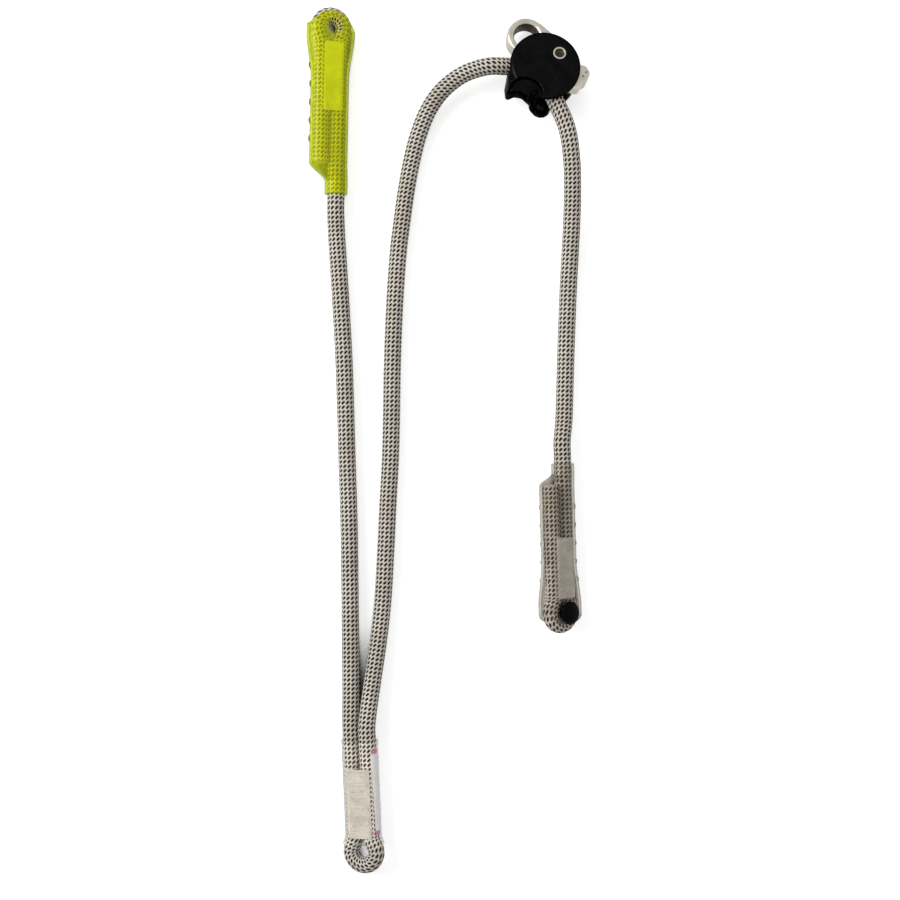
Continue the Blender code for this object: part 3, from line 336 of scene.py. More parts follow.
def braid_effect(tree, given):
    """Dark strands that lean right over pale ones that lean left. An oval mark is where a dark one shows.
    Seam shade is painted shade where the braid lies low between strands.
    """
    rising = sums(tree, "ADD", given["Around"], given["Along"])
    falling = sums(tree, "SUBTRACT", given["Around"], given["Along"])
    layers = []
    for run, across, width, sign in ((rising, falling, "Dark width", 1), (falling, rising, "Pale width", -1)):
        strand = sums(tree, "ROUND", across)
        off = sums(tree, "SUBTRACT", across, strand)
        share = sums(tree, "DIVIDE", off, given[width])
        room = sums(tree, "SUBTRACT", 1.0, sums(tree, "MULTIPLY", share, share))
        crown = sums(tree, "SQRT", sums(tree, "MAXIMUM", room, 0.0))
        wave = sums(tree, "COSINE", sums(tree, "MULTIPLY", sums(tree, "ADD", run, strand), math.pi))
        lift = sums(tree, "MULTIPLY", wave, BRAID_WAVE * sign)
        yarn = sums(tree, "MULTIPLY", sums(tree, "MULTIPLY_ADD", off, 3.0, run), 2 * math.pi)
        yarn = sums(tree, "SINE", yarn)
        body = sums(tree, "MULTIPLY_ADD", crown, BRAID_CROWN, lift)
        body = sums(tree, "MULTIPLY_ADD", yarn, 0.05, body)
        gone = sums(tree, "LESS_THAN", room, 0.0)
        layers.append(sums(tree, "MULTIPLY_ADD", gone, -0.9, body))
    strand = sums(tree, "ROUND", falling)
    over = sums(tree, "MULTIPLY", sums(tree, "ADD", rising, strand), 0.5)
    over = sums(tree, "MULTIPLY", sums(tree, "SUBTRACT", over, sums(tree, "ROUND", over)), 2.0)
    over = sums(tree, "DIVIDE", over, given["Dark length"])
    beside = sums(tree, "DIVIDE", sums(tree, "SUBTRACT", falling, strand), given["Dark width"])
    reach = sums(tree, "ADD", sums(tree, "MULTIPLY", over, over), sums(tree, "MULTIPLY", beside, beside))
    height = sums(tree, "MAXIMUM", *layers)
    return {"Mark": sums(tree, "MULTIPLY_ADD", reach, -3.2, 3.7, clamp=True), "Height": height,
            "Seam": sums(tree, "MULTIPLY_ADD", height, -1.6, 0.55, clamp=True)}


def mottle_effect(tree, given):
    """Slow patches and fine grain, for colour and roughness that change over a surface."""
    where = on_piece(tree)
    patch = spread(tree, noise(tree, where, given["Patch size"], 3.0, 0.55), 0.32, 0.68)
    grain = spread(tree, noise(tree, where, given["Grain size"], 2.0, 0.6), 0.3, 0.7)
    both = sums(tree, "MULTIPLY_ADD", sums(tree, "SUBTRACT", grain, 0.5), 0.35, patch, clamp=True)
    return {"Patch": patch, "Grain": grain,
            "Roughness": spread(tree, both, first=given["Low"], last=given["High"])}


def wear_and_glint_effect(tree, given):
    """Brighter edges, broken up by noise: rubbed wear, and on the black metal also a painted highlight along
    its rims.
    """
    edge = spread(tree, put(tree, "ShaderNodeNewGeometry").outputs["Pointiness"], 0.53, 0.6)
    patchy = spread(tree, noise(tree, on_piece(tree), given["Break-up"], 4.0), 0.4, 0.62)
    return {"Worn and glinting edge": sums(tree, "MULTIPLY", sums(tree, "MULTIPLY", edge, patchy), given["Amount"], clamp=True)}


def scratch_effect(tree, given):
    """Fine straight scratches in two directions, as a height."""
    where, found = on_piece(tree), []
    for turn in (0.0, 1.9):
        angle = sums(tree, "ADD", given["Turn"], turn)
        spun = put(tree, "ShaderNodeVectorRotate", {"Vector": where, "Angle": angle}, rotation_type="Z_AXIS")
        inputs = {0: spun.outputs[0], 1: (1.0, 0.035, 1.0)}
        drawn = put(tree, "ShaderNodeVectorMath", inputs, operation="MULTIPLY").outputs[0]
        found.append(spread(tree, noise(tree, drawn, given["Size"], 5.0, 0.7), 0.56, 0.66))
    return {"Height": sums(tree, "MAXIMUM", *found)}


EFFECTS = {
    "Braid": (braid_effect, {"Around": 0.0, "Along": 0.0, "Dark width": DARK_WIDTH, "Pale width": PALE_WIDTH,
                             "Dark length": 0.7}),
    "Mottle": (mottle_effect, {"Patch size": 60.0, "Grain size": 900.0, "Low": 0.3, "High": 0.5}),
    "Wear and glint": (wear_and_glint_effect, {"Amount": 0.5, "Break-up": 500.0}),
    "Scratches": (scratch_effect, {"Size": 400.0, "Turn": 0.4}),
}


def shader_group(name, effect, inputs):
    """A shader node group of an effect, which takes the inputs' numbers and gives its outputs by name."""
    tree = bpy.data.node_groups.new(name, "ShaderNodeTree")
    for label, default in inputs.items():
        socket = tree.interface.new_socket(label, in_out="INPUT", socket_type="NodeSocketFloat")
        socket.default_value = default
    outputs = effect(tree, tree.nodes.new("NodeGroupInput").outputs)
    for label in outputs:
        tree.interface.new_socket(label, in_out="OUTPUT", socket_type="NodeSocketFloat")
    put(tree, "NodeGroupOutput", outputs)


def use_group(tree, name, inputs):
    return put(tree, "ShaderNodeGroup", inputs, node_tree=bpy.data.node_groups[name]).outputs


def new_material(name, patch_size, grain_size, low, high):
    """A material with its node tree, its Principled shader and the mottle that its roughness follows."""
    made = bpy.data.materials.new(name)
    made.use_nodes = True
    tree = made.node_tree
    tree.nodes.clear()
    shader = tree.nodes.new("ShaderNodeBsdfPrincipled")
    put(tree, "ShaderNodeOutputMaterial", {"Surface": shader.outputs[0]})
    inputs = {"Patch size": patch_size, "Grain size": grain_size, "Low": low, "High": high}
    spots = use_group(tree, "Mottle", inputs)
    fill_in(tree, shader, {"Roughness": spots["Roughness"]})
    return made, tree, shader, spots


def rope_material(colours):
    made, tree, shader, spots = new_material("rope sheath", 45.0, 2600.0, 0.72, 0.95)
    sheath, mark = np.array(colours.sheath), np.array(colours.mark)
    around, along, _ = on_map(tree, "sheath")
    strands = use_group(tree, "Braid", {"Around": around, "Along": along})
    pale = blend_colour(tree, spots["Patch"], sheath, sheath * (0.84, 0.82, 0.78))
    # Painted shade: the pale strands darken where the braid lies low between them.
    pale = blend_colour(tree, strands["Seam"], pale, sheath * 0.6)
    fuzz = sums(tree, "MULTIPLY_ADD", spots["Grain"], 0.25, 0.86)
    fuzz = put(tree, "ShaderNodeCombineColor", {0: fuzz, 1: fuzz, 2: fuzz}).outputs[0]
    pale = blend_colour(tree, 1.0, pale, fuzz, "MULTIPLY")
    dark = blend_colour(tree, spots["Grain"], mark, mark * 3.0)
    height = sums(tree, "MULTIPLY_ADD", spots["Grain"], 0.14, strands["Height"])
    fill_in(tree, shader, {
        "Base Color": blend_colour(tree, strands["Mark"], pale, dark), "Sheen Weight": 0.04,
        "Sheen Roughness": 0.5, "Specular IOR Level": 0.12, "Normal": bump(tree, height, 0.75, 0.28 * MM)})
    return made


def cut_end_material(colours):
    made, tree, shader, spots = new_material("melted rope end", 700.0, 2500.0, 0.35, 0.7)
    sheath = np.array(colours.sheath)
    fill_in(tree, shader, {"Base Color": blend_colour(tree, spots["Patch"], sheath, sheath * 0.45),
                           "Normal": bump(tree, spots["Patch"], 0.6, 0.3 * MM)})
    return made


def thread_material(name, colour):
    """Sewing thread with darker streaks along its passes, painted shade as of gaps between them, by the map
    that holds each pass in its own row.
    """
    made, tree, shader, spots = new_material(name, 160.0, 4200.0, 0.55, 0.8)
    colour = np.array(colour)
    shown = blend_colour(tree, spots["Patch"], colour, colour * (0.82, 0.79, 0.76))
    along, row, _ = on_map(tree, "passes")
    drawn = put(tree, "ShaderNodeCombineXYZ", {0: sums(tree, "MULTIPLY", along, 0.6), 1: row}).outputs[0]
    # Painted shade: darker streaks along the rows stand in for shaded gaps between passes.
    gap_shade = spread(tree, noise(tree, drawn, 1.0, 3.0), 0.57, 0.67, 0.0, 0.6)
    fill_in(tree, shader, {
        "Base Color": blend_colour(tree, gap_shade, shown, colour * 0.42), "Sheen Weight": 0.25,
        "Sheen Roughness": 0.4, "Normal": bump(tree, spots["Grain"], 0.5, 0.06 * MM)})
    return made


def sleeve_material(name, colour, deep, clear, low, high, wave, rim=0.5, bend=1.22):
    """See-through moulded plastic, deeper in colour where it's seen along its wall. Lamps shine through."""
    made, tree, shader, spots = new_material(name, 110.0, 1500.0, low, high)
    lines = use_group(tree, "Scratches", {"Size": 380.0, "Turn": 0.5})
    facing = put(tree, "ShaderNodeLayerWeight", {"Blend": rim}).outputs["Facing"]
    edge = sums(tree, "MULTIPLY_ADD", sums(tree, "SUBTRACT", spots["Patch"], 0.5), 0.12, facing, clamp=True)
    height = sums(tree, "MULTIPLY_ADD", lines["Height"], -0.25, spots["Patch"])
    fill_in(tree, shader, {
        "Base Color": blend_colour(tree, edge, colour, deep), "Transmission Weight": clear, "IOR": bend,
        "Specular IOR Level": 0.12, "Normal": bump(tree, height, wave, 0.35 * MM)})
    surface = shader.outputs[0].links[0].to_socket
    lamps = put(tree, "ShaderNodeBsdfTransparent", {"Color": np.sqrt(colour)})
    shadow = put(tree, "ShaderNodeLightPath").outputs["Is Shadow Ray"]
    mixed = put(tree, "ShaderNodeMixShader", {0: shadow, 1: shader.outputs[0], 2: lamps.outputs[0]})
    tree.links.new(mixed.outputs[0], surface)
    return made


def label_material():
    """Blank white film with a generic pink band at each end."""
    made, tree, shader, spots = new_material("label film", 220.0, 1800.0, 0.3, 0.5)
    bands = put(tree, "ShaderNodeValToRGB", {0: on_map(tree, "strip")[1]})
    stops = bands.color_ramp.elements
    pink, white = (0.55, 0.13, 0.33, 1.0), (0.74, 0.74, 0.76, 1.0)
    stops[0].position, stops[0].color = 0.045, pink
    stops[1].position, stops[1].color = 0.955, pink
    for position in (0.052, 0.948):
        stops.new(position).color = white
    grime = sums(tree, "MULTIPLY", spots["Patch"], 0.16)
    fill_in(tree, shader, {"Base Color": blend_colour(tree, grime, bands.outputs[0], (0.42, 0.41, 0.42)),
                           "Normal": bump(tree, spots["Patch"], 0.3, 0.3 * MM)})
    return made


def rubber_material():
    made, tree, shader, spots = new_material("black rubber", 260.0, 2600.0, 0.36, 0.6)
    edge_wear_glint = use_group(tree, "Wear and glint", {"Amount": 0.35, "Break-up": 700.0})
    shown = blend_colour(tree, sums(tree, "MULTIPLY", spots["Patch"], 0.5), (0.0007, 0.0007, 0.0008),
                         (0.0022, 0.0021, 0.002))
    fill_in(tree, shader, {
        "Base Color": blend_colour(tree, edge_wear_glint["Worn and glinting edge"], shown, (0.006, 0.006, 0.0055)),
        "Specular IOR Level": 0.03, "Normal": bump(tree, spots["Grain"], 0.3, 0.05 * MM)})
    return made


def black_metal_material(colour):
    made, tree, shader, spots = new_material("black anodised metal", 130.0, 3000.0, 0.2, 0.34)
    edge_wear_glint = use_group(tree, "Wear and glint", {"Amount": 0.45, "Break-up": 420.0})
    lines = use_group(tree, "Scratches", {"Size": 520.0, "Turn": 0.9})
    shown = blend_colour(tree, spots["Patch"], colour, np.array(colour) * 1.6)
    shown = blend_colour(tree, sums(tree, "MULTIPLY", lines["Height"], 0.04), shown, (0.07, 0.07, 0.07))
    height = sums(tree, "MULTIPLY_ADD", lines["Height"], -0.4, spots["Grain"])
    fill_in(tree, shader, {
        # The edges' brighter grey is partly rubbed metal and partly a painted highlight along the rims and
        # the scoop's lip.
        "Base Color": blend_colour(tree, edge_wear_glint["Worn and glinting edge"], shown, (0.1, 0.1, 0.1)), "Metallic": 1.0,
        "Specular Tint": (0.32, 0.32, 0.32), "Normal": bump(tree, height, 0.1, 0.02 * MM)})
    return made


def pale_metal_material(name, colour, low, high, patch_size=90.0):
    made, tree, shader, spots = new_material(name, patch_size, 2400.0, low, high)
    edge_wear_glint = use_group(tree, "Wear and glint", {"Amount": 0.8, "Break-up": 300.0})
    lines = use_group(tree, "Scratches", {"Size": 620.0, "Turn": 0.2})
    colour = np.array(colour)
    shown = blend_colour(tree, spots["Patch"], colour, colour * 0.72)
    shown = blend_colour(tree, edge_wear_glint["Worn and glinting edge"], shown, np.minimum(1.0, colour * 1.3))
    height = sums(tree, "MULTIPLY_ADD", lines["Height"], -0.5, spots["Grain"])
    relief = bump(tree, height, 0.3, 0.05 * MM)
    fill_in(tree, shader, {"Base Color": shown, "Metallic": 1.0, "Normal": relief})
    return made


# Mesh building


def quad_mesh(name, points, quads, layer=None, places=None):
    """A mesh of quads from arrays, with a UV map whose places belong to the corners."""
    mesh = bpy.data.meshes.new(name)
    mesh.from_pydata(np.asarray(points).tolist(), [], np.asarray(quads).tolist())
    if layer:
        mesh.uv_layers.new(name=layer).data.foreach_set("uv", np.asarray(places, np.float32).ravel())
    mesh.shade_smooth()
    mesh.update()
    return mesh


def ring_quads(rings, sides, closed_round=True, closed_along=False):
    """Corner indices of the quads between rings of points, wound the same way."""
    rows = np.arange(rings if closed_along else rings - 1)
    columns = np.arange(sides if closed_round else sides - 1)
    r, c = np.meshgrid(rows, columns, indexing="ij")
    r2, c2 = (r + 1) % rings, (c + 1) % sides
    return np.stack([r * sides + c, r * sides + c2, r2 * sides + c2, r2 * sides + c], -1).reshape(-1, 4)


def corner_places(columns, rows):
    """Places on a UV map for the corners of ring_quads, from one number for each line along and across."""
    grid = np.stack(np.meshgrid(columns, rows), -1)
    return np.stack([grid[:-1, :-1], grid[:-1, 1:], grid[1:, 1:], grid[1:, :-1]], 2).reshape(-1, 2)


def mended(mesh, merge=0.0, fill=False):
    """The mesh with its faces turned outward, near points merged and open rims filled where asked."""
    body = bmesh.new()
    body.from_mesh(mesh)
    if merge:
        bmesh.ops.remove_doubles(body, verts=body.verts, dist=merge)
    if fill:
        bmesh.ops.holes_fill(body, edges=[edge for edge in body.edges if edge.is_boundary])
    bmesh.ops.recalc_face_normals(body, faces=body.faces)
    body.to_mesh(mesh)
    body.free()
    return mesh


def arc(centre, radius, first, last, steps):
    """Points on a circle from the first to the last angle, in degrees."""
    angles = [math.radians(first + (last - first) * k / steps) for k in range(steps + 1)]
    return [(centre[0] + radius * math.cos(a), centre[1] + radius * math.sin(a)) for a in angles]


def arc_profile(start, end, steps):
    """A quarter ellipse of profile points, level at start and upright at end."""
    turns = [math.pi / 2 * k / steps for k in range(steps + 1)]
    return [(start[0] + (end[0] - start[0]) * math.sin(t), start[1] + (end[1] - start[1]) * (1 - math.cos(t)))
            for t in turns]


def from_level(level, *points):
    """Profile points from pairs in millimetres: how far out, and how far above the level."""
    return [(out * MM, level + up * MM) for out, up in points]


def turned(name, profile, centre=(0.0, 0.0), steps=64, closed=False):
    """A round mesh from a profile of (radius, height) points, about an upright line."""
    turn = 2 * math.pi * np.arange(steps) / steps
    reach, level = np.array(profile, float).T[:, :, None]
    rings = [centre[0] + reach * np.cos(turn), centre[1] + reach * np.sin(turn), level]
    points = np.stack(np.broadcast_arrays(*rings), -1).reshape(-1, 3)
    quads = ring_quads(len(profile), steps, True, closed)[:, ::-1]
    mesh = mended(quad_mesh(name, points, quads), 0.002 * MM)
    mesh.set_sharp_from_angle(angle=math.radians(38))
    return mesh


def slab(name, outline, low, high):
    """A flat outline between two heights."""
    count = len(outline)
    mesh = bpy.data.meshes.new(name)
    faces = [list(range(count))[::-1], list(range(count, 2 * count)), *ring_quads(2, count).tolist()]
    mesh.from_pydata([(x, y, z) for z in (low, high) for x, y in outline], [], faces)
    return mended(mesh)


def cut_away(mesh, tools, sharp=50.0, edge=0.0, joined=()):
    """The mesh with others joined to it, each tool's room taken out of it, and its edges rounded by edge."""
    holders = [bpy.data.objects.new("cutting", found) for found in (mesh, *joined, *tools)]
    for holder in holders:
        bpy.context.scene.collection.objects.link(holder)
    for number, tool in enumerate(holders[1:]):
        step = holders[0].modifiers.new(f"step {number}", "BOOLEAN")
        step.operation = "UNION" if number < len(joined) else "DIFFERENCE"
        step.solver = "MANIFOLD"
        step.object = tool
    if edge:
        step = holders[0].modifiers.new("edge", "BEVEL")
        step.width = edge
        step.segments = 3
        step.limit_method = "ANGLE"
        step.angle_limit = math.radians(35)
    graph = bpy.context.evaluated_depsgraph_get()
    done = bpy.data.meshes.new_from_object(holders[0].evaluated_get(graph))
    for holder in holders:
        bpy.data.objects.remove(holder, do_unlink=True)
    done.shade_smooth()
    done.set_sharp_from_angle(angle=math.radians(sharp))
    return done


def show(name, mesh, material, node=None, body="lanyard", place=None):
    """Puts a mesh in the scene with its material and slot, riding on a body and standing for a node."""
    made = bpy.data.objects.new(name, mesh)
    bpy.context.scene.collection.objects.link(made)
    mesh.materials.clear()
    mesh.materials.append(material)
    if place is not None:
        mesh.transform(place)
    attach(made, body)
    if node:
        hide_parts(node)
    return made


def ease(share):
    share = np.clip(share, 0.0, 1.0)
    return share * share * (3 - 2 * share)


def noise_of(points, size, seed):
    """Smooth noise from a few waves, the same on every run."""
    chance = np.random.default_rng(seed)
    total = np.zeros(len(points))
    for _ in range(7):
        direction = chance.normal(size=3)
        direction *= 2 * math.pi / (size * chance.uniform(0.7, 1.6) * np.linalg.norm(direction))
        total += np.sin(points @ direction + chance.uniform(0, 2 * math.pi))
    return total / 3.0


# Rope


def between(points, share):
    """A point between the middle two of four, on a centripetal curve through them all."""
    knots = [0.0]
    for first, second in zip(points, points[1:]):
        knots.append(knots[-1] + max((second - first).length, 1e-9) ** 0.5)
    at = knots[1] + (knots[2] - knots[1]) * share
    for low, high in ((0, 1), (0, 2), (1, 2)):
        spans = [(knots[k + low], knots[k + high]) for k in range(len(points) - 1)]
        points = [a * ((last - at) / (last - first)) + b * ((at - first) / (last - first))
                  for a, b, (first, last) in zip(points, points[1:], spans)]
    return points[0]


def free_stretch(start, middle, end):
    """A smooth line through a free stretch's points, straight where it leaves what holds it."""
    route = start + [Vector(point) * MM + ROUTE_SHIFT for point in middle] + end[::-1]
    ends = [2 * route[0] - route[1]] + route + [2 * route[-1] - route[-2]]
    fours = zip(ends, ends[1:], ends[2:], ends[3:])
    return [between(four, step / 16) for four in fours for step in range(16)] + [route[-1]]


def leave(place, end, direction):
    """The first two points of a free stretch, beyond the end of what holds it."""
    start = place @ Vector(end)
    out = (place.to_3x3() @ Vector(direction)).normalized()
    return [start + out * GAP, start + out * (GAP + 8 * MM)]


def eye_offset(y, eye_radius):
    """How far each strand's middle lies from the middle line, where the two spread to go round the eye."""
    return STRAND_OFFSET + (eye_radius - STRAND_OFFSET) * ease((y + EYE_TAPER) / EYE_TAPER)


def eye_points(place, eye_radius, first_end, last_end, side):
    """The rope's middle from one end behind an eye, round it and back."""
    taper = [-EYE_TAPER * k / 10 for k in range(10, 0, -1)]
    line = [(STRAND_OFFSET, -first_end)] + [(eye_offset(y, eye_radius), y) for y in taper]
    line += arc((0, 0), eye_radius, 0, 180, 40)
    line += [(-eye_offset(y, eye_radius), y) for y in taper[::-1]] + [(-STRAND_OFFSET, -last_end)]
    return [place @ Vector((side * x, y, 0)) for x, y in line]


def adjuster_line():
    """The rope's middle through the adjuster, in its own frame, and the direction in which it leaves."""
    bend = [Vector((x, y, 0)) for x, y in arc(BEND_CENTRE, BEND_RADIUS, 90, 90 - BEND_ANGLE, 30)]
    turn = math.radians(BEND_ANGLE)
    out = Vector((math.cos(turn), -math.sin(turn), 0))
    return [bend[0] - Vector((ROPE_LEAD_IN, 0, 0)), *bend, bend[-1] + out * ROPE_LEAD_OUT], out


def whole_rope():
    """The one rope from cut end to cut end: its stretches as (name, points), in order."""
    back = (0, -1, 0)
    through, out = adjuster_line()
    fixed_mouth, stop_mouth = (tail + STEP_LENGTH + COLLAR_LENGTH for tail in (FIXED_TAIL, STOP_TAIL))
    lower_exit, upper_exit = (leave(HARNESS_EYE, (x, -CLEAR_SLEEVE_END, 0), back)
                              for x in (STRAND_OFFSET, -STRAND_OFFSET))
    fixed_exit = leave(FIXED_END, (STRAND_OFFSET, -fixed_mouth, 0), back)
    stop_exit = leave(STOP_END, (-STRAND_OFFSET, -stop_mouth, 0), back)
    rope_in, rope_away = leave(ADJUSTER, through[0], (-1, 0, 0)), leave(ADJUSTER, through[-1], out)
    harness_shape = (HARNESS_EYE_RADIUS, CLEAR_SLEEVE_END, CLEAR_SLEEVE_END, 1)
    return [
        ("fixed_end_strands", eye_points(FIXED_END, END_EYE_RADIUS, fixed_mouth, FIXED_TAIL, 1)[::-1]),
        ("fixed_leg", free_stretch(fixed_exit, FIXED_LEG_ROUTE, lower_exit)),
        ("harness_eye_strands", eye_points(HARNESS_EYE, *harness_shape)),
        ("adjustable_leg", free_stretch(upper_exit, ADJUSTABLE_LEG_ROUTE, rope_in)),
        ("adjuster_strand", [ADJUSTER @ point for point in through]),
        ("tail", free_stretch(rope_away, TAIL_ROUTE, stop_exit)),
        ("stop_end_strands", eye_points(STOP_END, END_EYE_RADIUS, stop_mouth, STOP_TAIL, -1)),
    ]


def rope_radii(name, line):
    """The rope's radii along a stretch: full where it runs free, squeezed where it is sewn."""
    full, sewn = ROPE_DIAMETER / 2, SEWN_DIAMETER / 2
    if name not in SEWN_EYES:
        return np.full(len(line), full)
    place, sewn_end, swell = SEWN_EYES[name]
    back = -np.array([(place.inverted() @ point).y for point in line])
    radii = sewn + (full - sewn) * ease((back - sewn_end) / swell)
    if place is HARNESS_EYE:
        radii[back < EYE_TAPER / 2] = HARNESS_EYE_DIAMETER / 2
    return radii


def braid_relief(around, along):
    """The braid's height over the map, from 0 in the seams to 1 on the strands, as the shader draws it."""
    rising, falling = around + along, around - along
    layers = []
    for run, across, width, sign in ((rising, falling, DARK_WIDTH, 1.0), (falling, rising, PALE_WIDTH, -1.0)):
        strand = np.round(across)
        room = 1 - ((across - strand) / width) ** 2
        wave = BRAID_WAVE * sign * np.cos(np.pi * (run + strand))
        layers.append(np.where(room < 0, -0.35, BRAID_CROWN * np.sqrt(np.maximum(room, 0)) + wave))
    return np.clip((np.maximum(*layers) + 0.35) / 1.35, 0.0, 1.0)


def rope_middle(stretches, pitch):
    """Even steps along the whole rope: each one's reach, middle, radius, stretch, direction and upright."""
    points = np.array([tuple(point) for _, line in stretches for point in line])
    radii = np.concatenate([rope_radii(name, line) for name, line in stretches])
    owner = np.repeat(np.arange(len(stretches)), [len(line) for _, line in stretches])
    keep = np.concatenate([[True], np.linalg.norm(np.diff(points, axis=0), axis=1) > 0.05 * MM])
    points, radii, owner = points[keep], radii[keep], owner[keep]
    reach = np.concatenate([[0], np.cumsum(np.linalg.norm(np.diff(points, axis=0), axis=1))])
    at = np.linspace(0, reach[-1], int(round(reach[-1] / (pitch / CELL_SIDES))) + 1)
    middle = np.stack([np.interp(at, reach, column) for column in points.T], 1)
    for _ in range(6):
        middle[1:-1] = (middle[:-2] + 2 * middle[1:-1] + middle[2:]) / 4
    ahead = np.gradient(middle, axis=0)
    ahead /= np.linalg.norm(ahead, axis=1)[:, None]
    normal = np.zeros_like(middle)
    upright = np.array(FIXED_END.col[2][:3])
    for k, direction in enumerate(ahead):
        upright = upright - direction * (upright @ direction)
        upright /= np.linalg.norm(upright)
        normal[k] = upright
    return at, middle, np.interp(at, reach, radii), np.round(np.interp(at, reach, owner)), ahead, normal


def build_rope(settings):
    """Each stretch of the rope: its braided mesh, its middle, its directions at both ends and its length."""
    stretches = whole_rope()
    at, middle, radius, owner, ahead, normal = rope_middle(stretches, settings.pitch)
    sides = settings.columns * CELL_SIDES
    around = np.arange(sides) / CELL_SIDES
    drift = math.radians(3) + math.radians(4) * np.sin(at / 0.093) + math.radians(2) * np.sin(at / 0.031 + 1)
    turn = (2 * math.pi * around / settings.columns + drift[:, None])[..., None]
    along = at / settings.pitch + 0.05 * np.sin(at / 0.021)
    reach = radius[:, None] + settings.relief * (braid_relief(*np.meshgrid(around, along)) - 0.75)
    spokes = np.cos(turn) * normal[:, None, :] + np.sin(turn) * np.cross(ahead, normal)[:, None, :]
    rings = middle[:, None, :] + reach[..., None] * spokes
    made = {}
    for number, (name, _) in enumerate(stretches):
        held = np.nonzero(owner == number)[0]
        low, high = max(held[0] - 1, 0), min(held[-1] + 1, len(at) - 1)
        part = rings[low:high + 1]
        places = corner_places([*around, settings.columns], along[low:high + 1])
        mesh = quad_mesh(name, part.reshape(-1, 3), ring_quads(len(part), sides), "sheath", places)
        made[name] = (mesh, middle[low:high + 1], ahead[low], ahead[high], at[high] - at[low])
    return made


def melt_end(name, centre, outward, material):
    """Closes a cut end of rope with the low melted dome that a hot knife leaves."""
    radius, height = SEWN_DIAMETER / 2 * 0.985, 0.8 * MM
    dome = [(radius * share, height * math.sqrt(1 - share ** 2)) for share in (0.0, 0.35, 0.7, 0.9, 1.0)]
    turn = Vector((0, 0, 1)).rotation_difference(Vector(outward)).to_matrix().to_4x4()
    show(f"{name}_cut", turned(f"{name} cut end", dome, steps=36), material,
         place=Matrix.Translation(Vector(centre)) @ turn)


# Sleeves


def stadium_ring(shift, half, count):
    """Points round a flat oval, as (across, up), with the share of each side's roundness."""
    share = 4 * np.arange(count // 4) / count
    points, bulge = [], []
    for sign, first in ((1, -math.pi / 2), (-1, math.pi / 2)):
        turn = first + math.pi * share
        points.append(np.stack([sign * shift + half * np.cos(turn), half * np.sin(turn)], 1))
        points.append(np.stack([sign * shift * (1 - 2 * share), np.full(len(share), sign * half)], 1))
        bulge += [np.cos(turn), np.zeros(len(share))]
    return np.concatenate(points), np.concatenate(bulge)


def half_width(y):
    return FLARE_REACH + (STRAND_REACH - FLARE_REACH) * ease((-y - 3 * MM) / (29 * MM))


def sleeve_surface(tail_length, side, wall, nubs, tip, step_length, collar_length, count=160):
    """One skin of an end sleeve as rings of points: the outer one has a wall, the inner one none."""
    half, collar = CAVITY_HALF + wall, ROPE_DIAMETER / 2 + GAP + wall
    body, mouth, step = STRAND_REACH + wall, collar + 0.1 * MM, -tail_length - GAP
    stations = [(FLARE_REACH + wall, 0, half, TIP_FOOT, share) for share in np.linspace(1, 0, 24)[:-1]]
    stations += [(half_width(y) + wall, 0, half, y, 0) for y in np.linspace(TIP_FOOT, step, 190)]
    for share in np.linspace(0, 1, 20)[1:]:
        blend = ease(share)
        stations.append((body + (mouth - body) * blend, STRAND_OFFSET * blend, half + (collar - half) * blend,
                         step - step_length * share, 0))
    stations += [(mouth, STRAND_OFFSET, collar, step - step_length - collar_length * share, 0)
                 for share in np.linspace(0, 1, 8)[1:]]
    rings = []
    for reach, middle, tall, y, tip_share in stations:
        ring, bulge = stadium_ring(reach - tall, tall, count)
        end = np.interp(ring[:, 0] / MM, *tip) * MM
        rings.append((ring[:, 0] + middle, y + (end - TIP_FOOT) * tip_share, ring[:, 1], bulge))
    x, y, z, across = np.moveaxis(np.array(rings), 1, 0)
    if wall > 0:
        for first, half_length, height, which in nubs:
            for k in range(NUB_COUNT):
                off = (y + first + NUB_PITCH * k) / half_length
                near = np.sqrt(np.clip(1 - off ** 2, 0, 1)) * np.clip(across * which, 0, 1) ** 2
                x = x + which * height * near
        reach = np.hypot((x - RIM_CENTRE[0]) / RIM_HALVES[0], (y - RIM_CENTRE[1]) / RIM_HALVES[1])
        ridge = np.exp(-((reach - 0.93) / 0.16) ** 2)
        z = z + np.sign(z) * RIM_HEIGHT * ridge * (np.abs(z) > 0.8 * half)
    return np.stack([side * x, y, z], -1)


def shell(name, outer, inner, flip=False):
    """A closed wall between two skins of the same rings."""
    lip = (outer[0] + inner[0]) / 2 + (0, 0.35 * MM, 0)
    foot = (outer[-1] + inner[-1]) / 2 - (0, 0.3 * MM, 0)
    skins = np.concatenate([outer, foot[None], inner[::-1], lip[None]])
    quads = ring_quads(*skins.shape[:2], True, True)
    return quad_mesh(name, skins.reshape(-1, 3), quads[:, ::-1] if flip else quads)


def end_sleeve(name, node, material, place, side, tail_length, nubs, tip, foot):
    """A moulded sleeve with its flare, grip nubs, step, collar and the window through both faces."""
    skins = [sleeve_surface(tail_length, side, wall, nubs, tip, *foot) for wall in (SLEEVE_WALL, 0.0)]
    oval = [(side * WINDOW_CENTRE[0] + WINDOW_HALVES[0] * x, WINDOW_CENTRE[1] + WINDOW_HALVES[1] * y)
            for x, y in arc((0, 0), 1, 0, 360, 64)[:-1]]
    window = slab("window tool", oval, -20 * MM, 20 * MM)
    show(name, cut_away(shell(name, *skins, side < 0), [window]), material, node, place=place)


